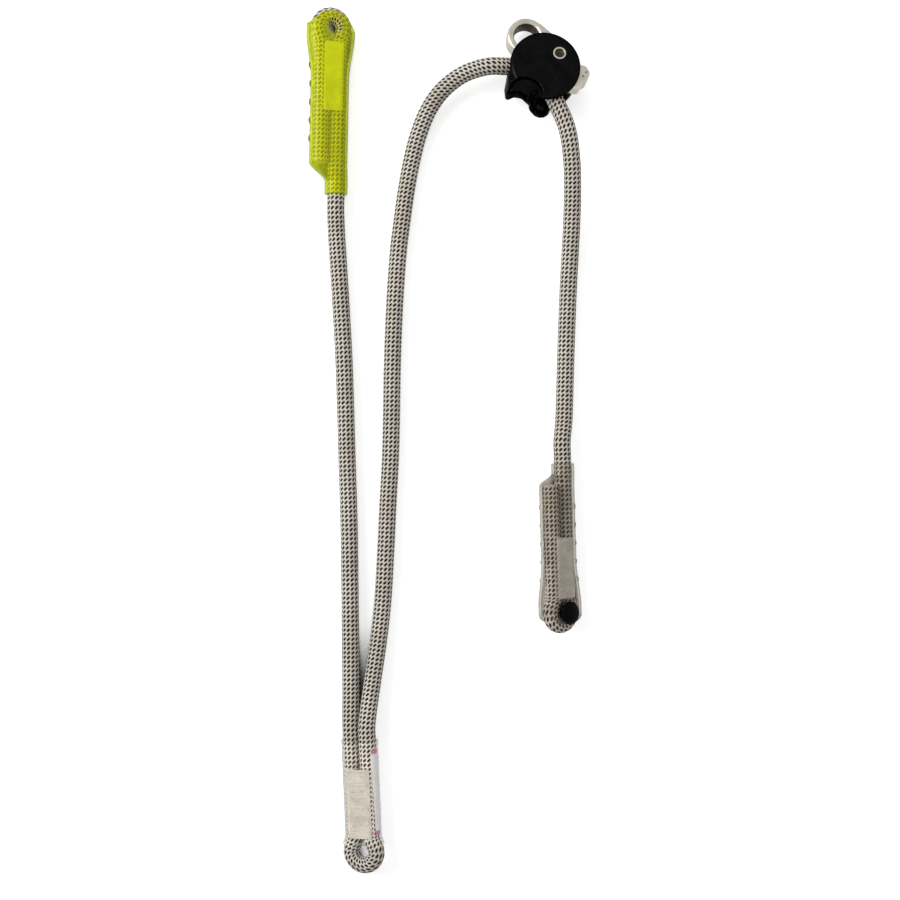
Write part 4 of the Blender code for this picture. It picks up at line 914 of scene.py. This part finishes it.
def clear_film(material):
    """The thin clear sleeve over the harness eye's stitching, a little puckered."""
    right = STRAND_REACH + GAP
    left = -STRAND_REACH - 0.4 * MM - GAP
    rows = -np.concatenate([np.linspace(CLEAR_SLEEVE_START, EYE_TAPER, 10),
                            np.linspace(EYE_TAPER, CLEAR_SLEEVE_END, 110)[1:]])

    def skin(wall):
        rings = []
        for y in rows:
            mouth = eye_offset(y, HARNESS_EYE_RADIUS) + ROPE_DIAMETER / 2 + 3 * GAP if y > -EYE_TAPER else 0.0
            foot = STRAND_OFFSET + ROPE_DIAMETER / 2 + GAP if y < 4 * MM - CLEAR_SLEEVE_END else 0.0
            low, high = min(left, -mouth, -foot) - wall, max(right, mouth, foot) + wall
            ring, _ = stadium_ring((high - low) / 2 - CAVITY_HALF - wall, CAVITY_HALF + wall, 96)
            rings.append(np.insert(ring + ((low + high) / 2, 0), 1, y, axis=1))
        return np.array(rings)

    outer, inner = skin(FILM_OUTSIDE), skin(FILM_INSIDE)
    flat = outer.reshape(-1, 3)
    waves = noise_of(flat * (1.0, 0.55, 1.0), 9 * MM, 5) + 0.6 * noise_of(flat, 3.2 * MM, 8)
    pull = FILM_PUCKER * np.abs(waves)[:, None] * (0.3, 0.0, 1.0) * np.sign(flat)
    squeeze = 1 - 0.03 * (1 + np.tanh(waves))[:, None] * (0.0, 0.0, 1.0)
    outer = ((flat - pull) * squeeze).reshape(outer.shape)
    mesh = shell("clear_sleeve", outer, (outer + inner) / 2)
    show("clear_sleeve", mesh, material, "harness_eye_sleeve", place=HARNESS_EYE)


def label_strip(material):
    """The blank strip that curls round the outer side of one strand."""
    rows = np.linspace(-LABEL_START, -LABEL_END, 55)
    sides = 50
    points = []
    for y, first in zip(rows, np.linspace(148, 135, len(rows))):
        turns = np.radians(np.linspace(first, 242, sides // 2))
        for reach, curl in ((LABEL_OUTSIDE, turns), (LABEL_INSIDE, turns[::-1])):
            points += [(reach * math.cos(t) - STRAND_OFFSET, y, reach * math.sin(t)) for t in curl]
    points = np.array(points)
    points[:, 2] += 0.04 * MM * noise_of(points, 7 * MM, 3)
    places = corner_places(np.arange(sides + 1) / sides, np.linspace(0, 1, len(rows)))
    mesh = mended(quad_mesh("label", points, ring_quads(len(rows), sides), "strip", places), fill=True)
    mesh.set_sharp_from_angle(angle=math.radians(40))
    show("label", mesh, material, "harness_eye_label", place=HARNESS_EYE)


# Stitching


def stitch_line(x):
    """Height of the thread over two strands at a distance across from the middle."""
    over = np.sqrt(np.maximum(THREAD_CREST ** 2 - np.maximum(np.abs(x) - STRAND_OFFSET, 0) ** 2, 0))
    return over - THREAD_SAG * (1 - np.minimum(np.abs(x) / STRAND_OFFSET, 1) ** 2)


def stitch_block(name, place, settings, width, shift, length, material, seed, ragged):
    """Passes of thread laid side by side over both faces of the two strands, above a felted bed."""
    chance = np.random.default_rng(seed)
    passes = int(length / settings.pitch)
    across = np.linspace(-0.5, 0.5, 17)
    sides = 6
    turn = 2 * math.pi * np.arange(sides) / sides
    spokes = np.stack([np.zeros(sides), np.cos(turn), np.sin(turn)], 1)
    points, quads, places, start = [], [], [], 0
    for face in (1, -1):
        for k in range(passes):
            y = -STITCH_START - (k + 0.5) * settings.pitch
            lean = chance.normal(0, 0.3 * MM)
            low, high = chance.normal(0, 0.22 * MM), chance.normal(0, ragged)
            x = shift + across * width + np.where(across < 0, low, high) * np.abs(across) * 2
            z = stitch_line(x) - settings.radius * 0.55 + chance.normal(0, 0.07 * MM)
            z = z + 0.05 * MM * np.sin(across * chance.uniform(9, 22) + chance.uniform(0, 6))
            z = z - 0.5 * MM * np.clip((np.abs(across) - 0.46) / 0.04, 0, 1)
            line = np.stack([x, y + lean * across * 2, face * z], 1)
            thick = settings.radius * (1 + 0.12 * chance.normal()) * np.where(np.abs(across) > 0.48, 0.6, 1.0)
            points.append((line[:, None, :] + thick[:, None, None] * spokes).reshape(-1, 3))
            quads.append(ring_quads(len(line), sides) + start)
            row = np.stack([x / (4 * MM), np.full(len(x), (k + 0.5 + passes * (face < 0)) * 0.83)], 1)
            places.append(np.repeat(row, sides, axis=0))
            start += len(line) * sides
    bed_rows = np.linspace(-STITCH_START - 0.3 * MM, 0.3 * MM - STITCH_START - length, 40)
    bed_across = shift + np.linspace(-0.485, 0.485, 25) * width
    for face in (1, -1):
        x, y = np.meshgrid(bed_across, bed_rows)
        bed = np.stack([x, y, face * (stitch_line(x) - settings.radius * 0.9)], -1).reshape(-1, 3)
        found = ring_quads(len(bed_rows), len(bed_across), False) + start
        points.append(bed)
        quads.append(found if face < 0 else found[:, ::-1])
        places.append(bed[:, :2] / (1.1 * MM))
        start += len(bed)
    quads, places = np.concatenate(quads), np.concatenate(places)
    mesh = quad_mesh(name, np.concatenate(points), quads, "passes", places[quads].reshape(-1, 2))
    show(name, mesh, material, name.replace("stitches", "stitching"), place=place)


# Adjuster


def rounded(corners, steps=10):
    """An outline through (x, y, radius) corners, each turned on its own radius."""
    points = []
    for k, (x, y, radius) in enumerate(corners):
        corner = Vector((x, y))
        if radius == 0:
            points.append((x, y))
            continue
        before = Vector(corners[k - 1][:2]) - corner
        after = Vector(corners[(k + 1) % len(corners)][:2]) - corner
        half = before.angle(after) / 2
        reach = min(radius / math.tan(half), 0.48 * before.length, 0.48 * after.length)
        before.normalize()
        after.normalize()
        aside = (before + after).normalized() * reach / math.cos(half)
        first = before * reach - aside
        turn = first.angle_signed(after * reach - aside)
        for step in range(steps + 1):
            spoke = first.copy()
            spoke.rotate(Matrix.Rotation(-turn * step / steps, 2))
            points.append(tuple(corner + aside + spoke))
    return points


def corners_of(*corners):
    """Corners for an outline from points and radii in millimetres."""
    return [tuple(value * MM for value in corner) for corner in corners]


def sharp_arc(*shape):
    """Corners without a radius along an arc."""
    return [(x, y, 0) for x, y in arc(*shape)]


def rope_room(turn=0.0):
    """The rope's room through the adjuster, as a tube turned about the pivot."""
    line = np.array(adjuster_line()[0])
    for end, inner in ((0, 1), (-1, -2)):
        line[end] += (line[end] - line[inner]) / np.linalg.norm(line[end] - line[inner]) * 20 * MM
    ahead = np.gradient(line, axis=0)
    ahead /= np.linalg.norm(ahead, axis=1)[:, None]
    side = np.cross(ahead, (0, 0, 1))[:, None, :]
    round_rope = (2 * math.pi * np.arange(48) / 48)[:, None]
    spokes = np.cos(round_rope) * side + np.sin(round_rope) * (0, 0, 1)
    rings = line[:, None, :] + (ROPE_DIAMETER / 2 + GAP) * spokes
    mesh = mended(quad_mesh("rope room", rings.reshape(-1, 3), ring_quads(len(line), 48)), fill=True)
    mesh.transform(Matrix.Rotation(turn, 4, "Z"))
    return mesh


def block_top(x, y):
    """Height of the friction block's top: the thumb scoop's bowl, which runs out into the lobe's shoulder."""
    bowl = np.hypot(x - SCOOP_CENTRE[0], y - SCOOP_CENTRE[1]) / SCOOP_RADIUS
    inside = SCOOP_FLOOR + SCOOP_DEPTH * (1 - np.sqrt(np.clip(1 - bowl ** 2, 0, 1)))
    inside = inside + np.maximum(bowl - 0.98, 0) * 60 * MM
    lobe = np.maximum(np.hypot(x - LOBE_CENTRE[0], y - LOBE_CENTRE[1]) - LOBE_SHOULDER, 0)
    shoulder = LOBE_TOP + 0.95 * lobe ** 1.25 / (2 * MM) ** 0.25
    levels = (inside, shoulder, BLOCK_CREST)
    return -BLOCK_BLEND * np.log(sum(np.exp(-level / BLOCK_BLEND) for level in levels))


def above_block():
    """Everything over the friction block's top, as a thick sheet to cut with."""
    count = 150
    x, y = np.meshgrid(np.linspace(-38 * MM, -0.5 * MM, count), np.linspace(-41 * MM, 0.5 * MM, count))
    points = np.concatenate([np.stack([x, y, z], -1).reshape(-1, 3)
                             for z in (block_top(x, y), np.full(x.shape, 16 * MM))])
    quads = ring_quads(count, count, False)
    edge = np.arange(count * count).reshape(count, count)
    rim = np.concatenate([edge[0], edge[1:, -1], edge[-1, -2::-1], edge[-2:0:-1, 0]])
    walls = np.stack([rim, np.roll(rim, -1), np.roll(rim, -1) + count * count, rim + count * count], 1)
    quads = np.concatenate([quads[:, ::-1], quads + count * count, walls])
    return mended(quad_mesh("above block", points, quads))


def plate_mesh():
    """The front plate: a disc with a drawn edge, cut away at the thumb scoop and sunk for the rivet."""
    drawn_edge = arc_profile((PLATE_RADIUS - 3.4 * MM, PLATE_FACE), (PLATE_RADIUS, PLATE_FACE - 2.6 * MM), 14)
    profile = [(0, PLATE_FACE), *drawn_edge, (PLATE_RADIUS, PLATE_HALF + 0.2 * MM),
               (PLATE_RADIUS - 0.2 * MM, PLATE_HALF), (0, PLATE_HALF)]
    over, rim = PLATE_FACE + 4 * MM, SCOOP_RADIUS + SCOOP_LIP
    mouth = arc_profile((rim, PLATE_FACE), (SCOOP_RADIUS, PLATE_FACE - SCOOP_LIP), 8)
    scoop = [(0, over), (rim, over), *mouth, (SCOOP_RADIUS, 0), (0, 0)]
    seat_mouth, seat_floor = RIVET_SEAT + 0.3 * MM, PLATE_FACE - 2.1 * MM
    seat = [(0, over), (seat_mouth, over), (seat_mouth, PLATE_FACE), (RIVET_SEAT, PLATE_FACE - 0.3 * MM),
            (RIVET_SEAT, seat_floor), (0, seat_floor)]
    outline = corners_of((-22.0, -6.0, 0), (-31.2, -8.5, 2), (-33.3, -17.5, 8.0), (-32.9, -25.4, 1.2),
                         (-24.0, -24.0, 0))
    horn = cut_away(slab("horn", rounded(outline), PLATE_HALF, PLATE_FACE - 1.3 * MM), [], 40, 0.9 * MM)
    return cut_away(turned("adjuster_face", profile, PLATE_CENTRE, 160),
                    [turned("scoop", scoop, SCOOP_CENTRE, 120), turned("seat", seat)], 40, joined=[horn])


def block_mesh():
    """The friction block: lips for the rope, the thumb horn and the lower lobe under one flowing top."""
    lip = BEND_RADIUS - 2.5 * MM
    left = (LOBE_CENTRE[0] - LOBE_STRETCH, LOBE_CENTRE[1])
    corners = corners_of((-33.4, -17.5, 6.0), (-32.8, -25.0, 1.6), (-27.4, -22.3, 3.5), (-22.6, -23.0, 4.0),
                         (-18.0, -27.6, 1.5))
    corners += sharp_arc(left, LOBE_RADIUS, 180, 262, 20) + sharp_arc(LOBE_CENTRE, LOBE_RADIUS, 278, 385, 24)
    corners += sharp_arc(BEND_CENTRE, lip, -14, 90, 30) + [(-31.0 * MM, BEND_CENTRE[1] + lip, 1.2 * MM)]
    recess = from_level(LOBE_TOP, (0, 10.6), (3.9, 10.6), (3.9, 0.1), (3.5, -0.5), (3.4, -3), (0, -3))
    body = slab("adjuster_block", rounded(corners), -BLOCK_HALF, BLOCK_HALF)
    return cut_away(body, [above_block(), rope_room(), turned("recess", recess, LOBE_CENTRE, 48)], 35)


def cam_mesh():
    """The cam: its connector eye, its arm and the tail lug in one piece, with the rope's room cut from it."""
    outer = arc_profile((EYE_OUTER - EYE_FILLET, BLOCK_HALF), (EYE_OUTER, BLOCK_HALF - EYE_FILLET), 7)
    upper = [(EYE_BORE + EYE_OUTER - x, z) for x, z in outer[::-1]] + outer
    ring = turned("adjuster_cam", upper + [(x, -z) for x, z in upper[::-1]], EYE_CENTRE, 120, True)
    corners = corners_of(
        (-19.7, 1.4, 0), (0, -6.1, 3.0), (1.5, -9.0, 2.0), (6.0, -20.6, 1.0), (12.9, -20.6, 1.4),
        (15.0, -17.4, 0.6), (17.4, -16.2, 1.8), (20.2, -11.4, 4.0), (17.6, -6.4, 2.8), (12.6, -5.2, 1.5),
        (7.5, 5.3, 5.0), (-11.1, 22.5, 0))
    corners += sharp_arc(EYE_CENTRE, EYE_BORE + 0.95 * MM, 46, -90, 20)
    arm = cut_away(slab("arm", rounded(corners), -BLOCK_HALF, BLOCK_HALF), [], 40, 0.9 * MM)
    bore = from_level(0, (0, 9), (4, 9), (4, -9), (0, -9))
    pin = from_level(BLOCK_HALF, (0, 3.2), (0.75, 3.2), (0.75, -1.4), (0, -1.7))
    slot = slab("slot", from_level(0, (0, -0.45), (9, -0.45), (9, 0.45), (0, 0.45)), -9 * MM, 9 * MM)
    slot.transform(Matrix.Translation((16.6 * MM, -10.8 * MM, 0)) @ Matrix.Rotation(math.radians(14), 4, "Z"))
    rooms = [rope_room(CLOSING_ANGLE * share) for share in (0, 0.5, 1)]
    tools = [*rooms, turned("bore", bore, steps=48), slot, turned("pin", pin, (15.2 * MM, -13.6 * MM), 20)]
    return cut_away(ring, tools, 32, joined=[arm])


def rivet_meshes():
    """The pivot rivet with its round recess, and the lower rivet deep in the lobe."""
    pivot = from_level(PLATE_FACE, (0, -1.5), (1.0, -1.45), (2.4, -1.1), (2.95, -0.5), (3.1, 0.02),
                       (3.35, 0.18), (3.7, 0.16), (4.05, 0), (4.2, -0.35), (4.2, -1.8), (2.6, -1.8))
    pivot += from_level(REAR_FACE, (2.6, 1.2), (4.2, 1.2), (4.2, 0.3), (3.9, 0), (0, 0))
    lower = from_level(LOBE_TOP, (0, -0.85), (1.4, -0.9), (2.9, -1.2), (3.2, -1.5), (3.2, -2.3), (1.9, -2.3))
    lower += from_level(REAR_FACE, (1.9, 1.2), (3.3, 1.2), (3.3, 0.3), (3.0, 0), (0, 0))
    return turned("adjuster_pivot", pivot, steps=72), turned("adjuster_lower_rivet", lower, LOBE_CENTRE, 48)


def darken_hollow(mesh, finish, centre, reach, low, high):
    """Gives the darker material of a hollow, an olive tarnish deepened by painted shade, to the faces near an
    upright line of the adjuster, between two heights.
    """
    mesh.materials.append(finish)
    inward = ADJUSTER.inverted()
    for face in mesh.polygons:
        x, y, z = inward @ face.center
        face.material_index = int(low < z < high and math.hypot(x - centre[0], y - centre[1]) < reach)


# Operators


class LANYARD_OT_effects(bpy.types.Operator):
    """Build the shader effects that the finishes share"""

    bl_idname = "lanyard.effects"
    bl_label = "Shared effects"

    def execute(self, context):
        for name, (effect, inputs) in EFFECTS.items():
            shader_group(name, effect, inputs)
        return {"FINISHED"}


class LANYARD_OT_stage(bpy.types.Operator):
    """Add the pale floor, the soft lights and the camera that looks straight down"""

    bl_idname = "lanyard.stage"
    bl_label = "Stage"

    def execute(self, context):
        settings = context.scene.lanyard_stage
        mesh = bpy.data.meshes.new("floor")
        corners = [(x * FLOOR_HALF, y * FLOOR_HALF, 0) for x, y in ((-1, -1), (1, -1), (1, 1), (-1, 1))]
        mesh.from_pydata(corners, [], [(0, 1, 2, 3)])
        floor = bpy.data.objects.new("floor", mesh)
        floor.location = (0, 0, -0.2 * MM)
        context.scene.collection.objects.link(floor)
        made, tree, shader, _ = new_material("pale floor", 3.0, 60.0, 0.85, 0.95)
        # Painted shadow: where the object hems the floor in, its colour is darkened toward near black, and
        # its glow is taken away.
        unshadowed_floor = put(tree, "ShaderNodeAmbientOcclusion", {"Distance": 10 * MM}, samples=16).outputs["AO"]
        unshadowed_floor = spread(tree, unshadowed_floor, *PAINTED_SHADOW_RANGE)
        glow = sums(tree, "MULTIPLY", sums(tree, "MULTIPLY", seen(tree), unshadowed_floor), settings.glow)
        fill_in(tree, shader, {
            "Base Color": blend_colour(tree, unshadowed_floor, (0.05, 0.048, 0.045), settings.floor),
            "Emission Color": (1.0, 1.0, 1.0), "Emission Strength": glow, "Specular IOR Level": 0.0})
        mesh.materials.append(made)
        for name, place, power, mirrored in (
            ("key light", (-1.15, 0.45, 0.95), settings.key, True),
            ("right light", (1.15, -0.35, 1.0), settings.key * 0.2, False),
            ("top light", (0.15, 1.15, 0.85), settings.key * 0.25, False),
        ):
            lamp = bpy.data.lights.new(name, "AREA")
            lamp.shape = "DISK"
            lamp.size = LAMP_SIZE
            lamp.energy = power * LAMP_POWER
            holder = bpy.data.objects.new(name, lamp)
            holder.location = place
            holder.rotation_euler = (-Vector(place)).to_track_quat("-Z", "Y").to_euler()
            holder.visible_glossy = mirrored
            context.scene.collection.objects.link(holder)
        world = bpy.data.worlds.new("studio")
        world.use_nodes = True
        sky = world.node_tree
        level = put(sky, "ShaderNodeMix", {0: seen(sky), 2: settings.fill, 3: 1.0}).outputs[0]
        fill_in(sky, sky.nodes["Background"], {"Color": (1.0, 1.0, 1.0), "Strength": level})
        context.scene.world = world
        lens = bpy.data.cameras.new("camera")
        lens.lens = LENS
        lens.sensor_width = 36
        lens.clip_start = 0.05
        lens.clip_end = 20
        camera = bpy.data.objects.new("camera", lens)
        camera.location = CAMERA_PLACE
        context.scene.collection.objects.link(camera)
        context.scene.camera = camera
        context.scene.view_settings.view_transform = "Standard"
        return {"FINISHED"}


class LANYARD_OT_rope(bpy.types.Operator):
    """Braid the one rope: both arms, the tail and the strands in the three eyes"""

    bl_idname = "lanyard.rope"
    bl_label = "Rope"

    def execute(self, context):
        settings = context.scene.lanyard_rope
        material = rope_material(settings)
        melted = cut_end_material(settings)
        stands_for = {
            "fixed_end_strands": "fixed_end_eye_rope", "fixed_leg": "fixed_leg_rope",
            "harness_eye_strands": "harness_eye_rope", "adjustable_leg": "adjustable_leg_rope",
            "adjuster_strand": "adjuster_rope", "tail": "tail_rope", "stop_end_strands": "stop_end_eye_rope",
        }
        for name, (mesh, middle, first, last, length) in build_rope(settings).items():
            made = show(name, mesh, material, stands_for[name])
            if name == "fixed_end_strands":
                melt_end(name, middle[0], -first, melted)
            if name == "stop_end_strands":
                melt_end(name, middle[-1], last, melted)
        return {"FINISHED"}


class LANYARD_OT_stitching(bpy.types.Operator):
    """Sew the three eyes with side by side passes of thread"""

    bl_idname = "lanyard.stitching"
    bl_label = "Stitching"

    def execute(self, context):
        settings = context.scene.lanyard_thread
        pale = thread_material("sewing thread", settings.colour)
        # Painted shade: the harness eye gets a darker copy of the same pale thread.
        harness = thread_material("sewing thread in painted shade", settings.harness)
        fixed_size = (FIXED_STITCH_WIDTH, FIXED_STITCH_SHIFT, LONG_STITCH)
        harness_size = (HARNESS_STITCH_WIDTH, 0, LONG_STITCH)
        stop_size = (STOP_STITCH_WIDTH, STOP_STITCH_SHIFT, SHORT_STITCH)
        stitch_block("fixed_end_stitches", FIXED_END, settings, *fixed_size, pale, 11, 0.3 * MM)
        stitch_block("harness_eye_stitches", HARNESS_EYE, settings, *harness_size, harness, 12, 0.6 * MM)
        stitch_block("stop_end_stitches", STOP_END, settings, *stop_size, pale, 13, 0.3 * MM)
        return {"FINISHED"}


class LANYARD_OT_sleeves(bpy.types.Operator):
    """Mould the two end sleeves with their flares, windows, steps and grip nubs"""

    bl_idname = "lanyard.sleeves"
    bl_label = "End sleeves"

    def execute(self, context):
        settings = context.scene.lanyard_sleeves
        yellow = sleeve_material("yellow green sleeve", settings.yellow, (0.26, 0.38, 0.01),
                                 settings.yellow_clearness, low=0.07, high=0.16, wave=0.12)
        smoke = sleeve_material("smoky sleeve", settings.smoke, (0.19, 0.165, 0.125),
                                settings.smoke_clearness, low=0.03, high=0.09, wave=0.07)
        nubs = [(24.2 * MM, 2.2 * MM, 0.9 * MM, -1)]
        end_sleeve("fixed_end_moulding", "fixed_end_sleeve", yellow, FIXED_END, 1,
                   FIXED_TAIL, nubs, SKEW_TIP, (STEP_LENGTH, COLLAR_LENGTH))
        nubs = [(20.5 * MM, 1.4 * MM, 1.1 * MM, which) for which in (-1, 1)]
        end_sleeve("stop_end_moulding", "stop_end_sleeve", smoke, STOP_END, -1,
                   STOP_TAIL, nubs, LOW_TIP, (STOP_STEP_LENGTH, STOP_COLLAR_LENGTH))
        return {"FINISHED"}


class LANYARD_OT_harness_eye(bpy.types.Operator):
    """Slip the clear sleeve and the blank label over the harness eye"""

    bl_idname = "lanyard.harness_eye"
    bl_label = "Harness eye sleeve and label"

    def execute(self, context):
        settings = context.scene.lanyard_sleeves
        clear_film(sleeve_material("clear film", settings.film, np.array(settings.film) * 0.8,
                                   settings.film_clearness, low=0.05, high=0.12, wave=0.05,
                                   rim=0.2, bend=1.12))
        label_strip(label_material())
        return {"FINISHED"}


class LANYARD_OT_plug(bpy.types.Operator):
    """Push the domed rubber plug into the stop end's window"""

    bl_idname = "lanyard.plug"
    bl_label = "Plug"

    def execute(self, context):
        seat = CAVITY_HALF + SLEEVE_WALL + 0.8 * MM + GAP
        edge = seat + 0.9 * MM
        profile = arc_profile((0.0, edge + 2.6 * MM), (7.3 * MM, edge), 16)
        profile += from_level(seat, (7.3, 0.3), (7.1, 0), (2.9, 0))
        profile += from_level(-seat, (2.9, 0), (6.4, 0), (6.6, -0.3))
        profile += arc_profile((0.0, -edge - 1.6 * MM), (6.6 * MM, -edge), 12)[::-1]
        show("plug", turned("plug", profile), rubber_material(), "stop_end_plug", place=STOP_END)
        return {"FINISHED"}


class LANYARD_OT_adjuster(bpy.types.Operator):
    """Finish the adjuster's plates, friction block, cam and rivets"""

    bl_idname = "lanyard.adjuster"
    bl_label = "Rope adjuster"

    def execute(self, context):
        settings = context.scene.lanyard_metal
        light = np.array(settings.pale)
        black = black_metal_material(settings.black)
        pale = pale_metal_material("pale anodised metal", light, 0.24, 0.42)
        steel = pale_metal_material("rivet steel", light * 0.95, 0.2, 0.36, 300.0)
        bronze = pale_metal_material("bronze bush", settings.bronze, 0.3, 0.5)
        hollow_tarnish_shade = pale_metal_material("tarnish and painted shade", light * (0.1, 0.085, 0.055), 0.35, 0.6, 300.0)
        for node, finish in (("rear_plate", black), ("block_dowel", steel), ("cam_bushing", bronze)):
            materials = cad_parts[f"adjuster_{node}"].data.materials
            materials.clear()
            materials.append(finish)
        pivot, lower = rivet_meshes()
        cam = cam_mesh()
        for mesh, node, finish, slot, body in (
            (plate_mesh(), "adjuster_front_plate", black, "black_metal", "lanyard"),
            (block_mesh(), "adjuster_friction_block", black, "black_metal", "lanyard"),
            (pivot, "adjuster_pivot_rivet", steel, "rivet", "lanyard"),
            (lower, "adjuster_lobe_rivet", black, "black_metal", "lanyard"),
            (cam, "adjuster_cam_eye", pale, "light_metal", "cam"),
        ):
            show(f"{node}_finish", mesh, finish, node, body, ADJUSTER)
        bore_half = BLOCK_HALF - 0.9 * MM
        # Painted shade: the rivet's recess and the cam's bore get a far darker tarnish so that they look
        # shaded.
        darken_hollow(pivot, hollow_tarnish_shade, (0, 0), RIVET_RECESS, PLATE_HALF, PLATE_FACE - 0.3 * MM)
        darken_hollow(cam, hollow_tarnish_shade, EYE_CENTRE, EYE_BORE + 0.5 * MM, -bore_half, bore_half)
        return {"FINISHED"}


OPERATORS = (
    LANYARD_OT_effects,
    LANYARD_OT_stage,
    LANYARD_OT_rope,
    LANYARD_OT_stitching,
    LANYARD_OT_sleeves,
    LANYARD_OT_harness_eye,
    LANYARD_OT_plug,
    LANYARD_OT_adjuster,
)


class LANYARD_PT_pieces(bpy.types.Panel):
    """Sizes, colours and pieces of the lanyard"""

    bl_idname = "LANYARD_PT_pieces"
    bl_label = "Adjustable Y lanyard"
    bl_space_type = "VIEW_3D"
    bl_region_type = "UI"
    bl_category = "Lanyard"

    def draw(self, context):
        for name, kind in SETTINGS.items():
            box = self.layout.box()
            box.label(text=kind.__doc__)
            for field in kind.__annotations__:
                box.prop(getattr(context.scene, name), field)
        for operator in OPERATORS:
            self.layout.operator(operator.bl_idname)


def register():
    for kind in (*SETTINGS.values(), *OPERATORS, LANYARD_PT_pieces):
        bpy.utils.register_class(kind)
    for name, kind in SETTINGS.items():
        setattr(bpy.types.Scene, name, PointerProperty(type=kind))


def unregister():
    for name in SETTINGS:
        delattr(bpy.types.Scene, name)
    for kind in reversed((*SETTINGS.values(), *OPERATORS, LANYARD_PT_pieces)):
        bpy.utils.unregister_class(kind)


def main():
    register()
    for operator in OPERATORS:
        group, name = operator.bl_idname.split(".")
        getattr(getattr(bpy.ops, group), name)()


if __name__ == "__main__":
    main()
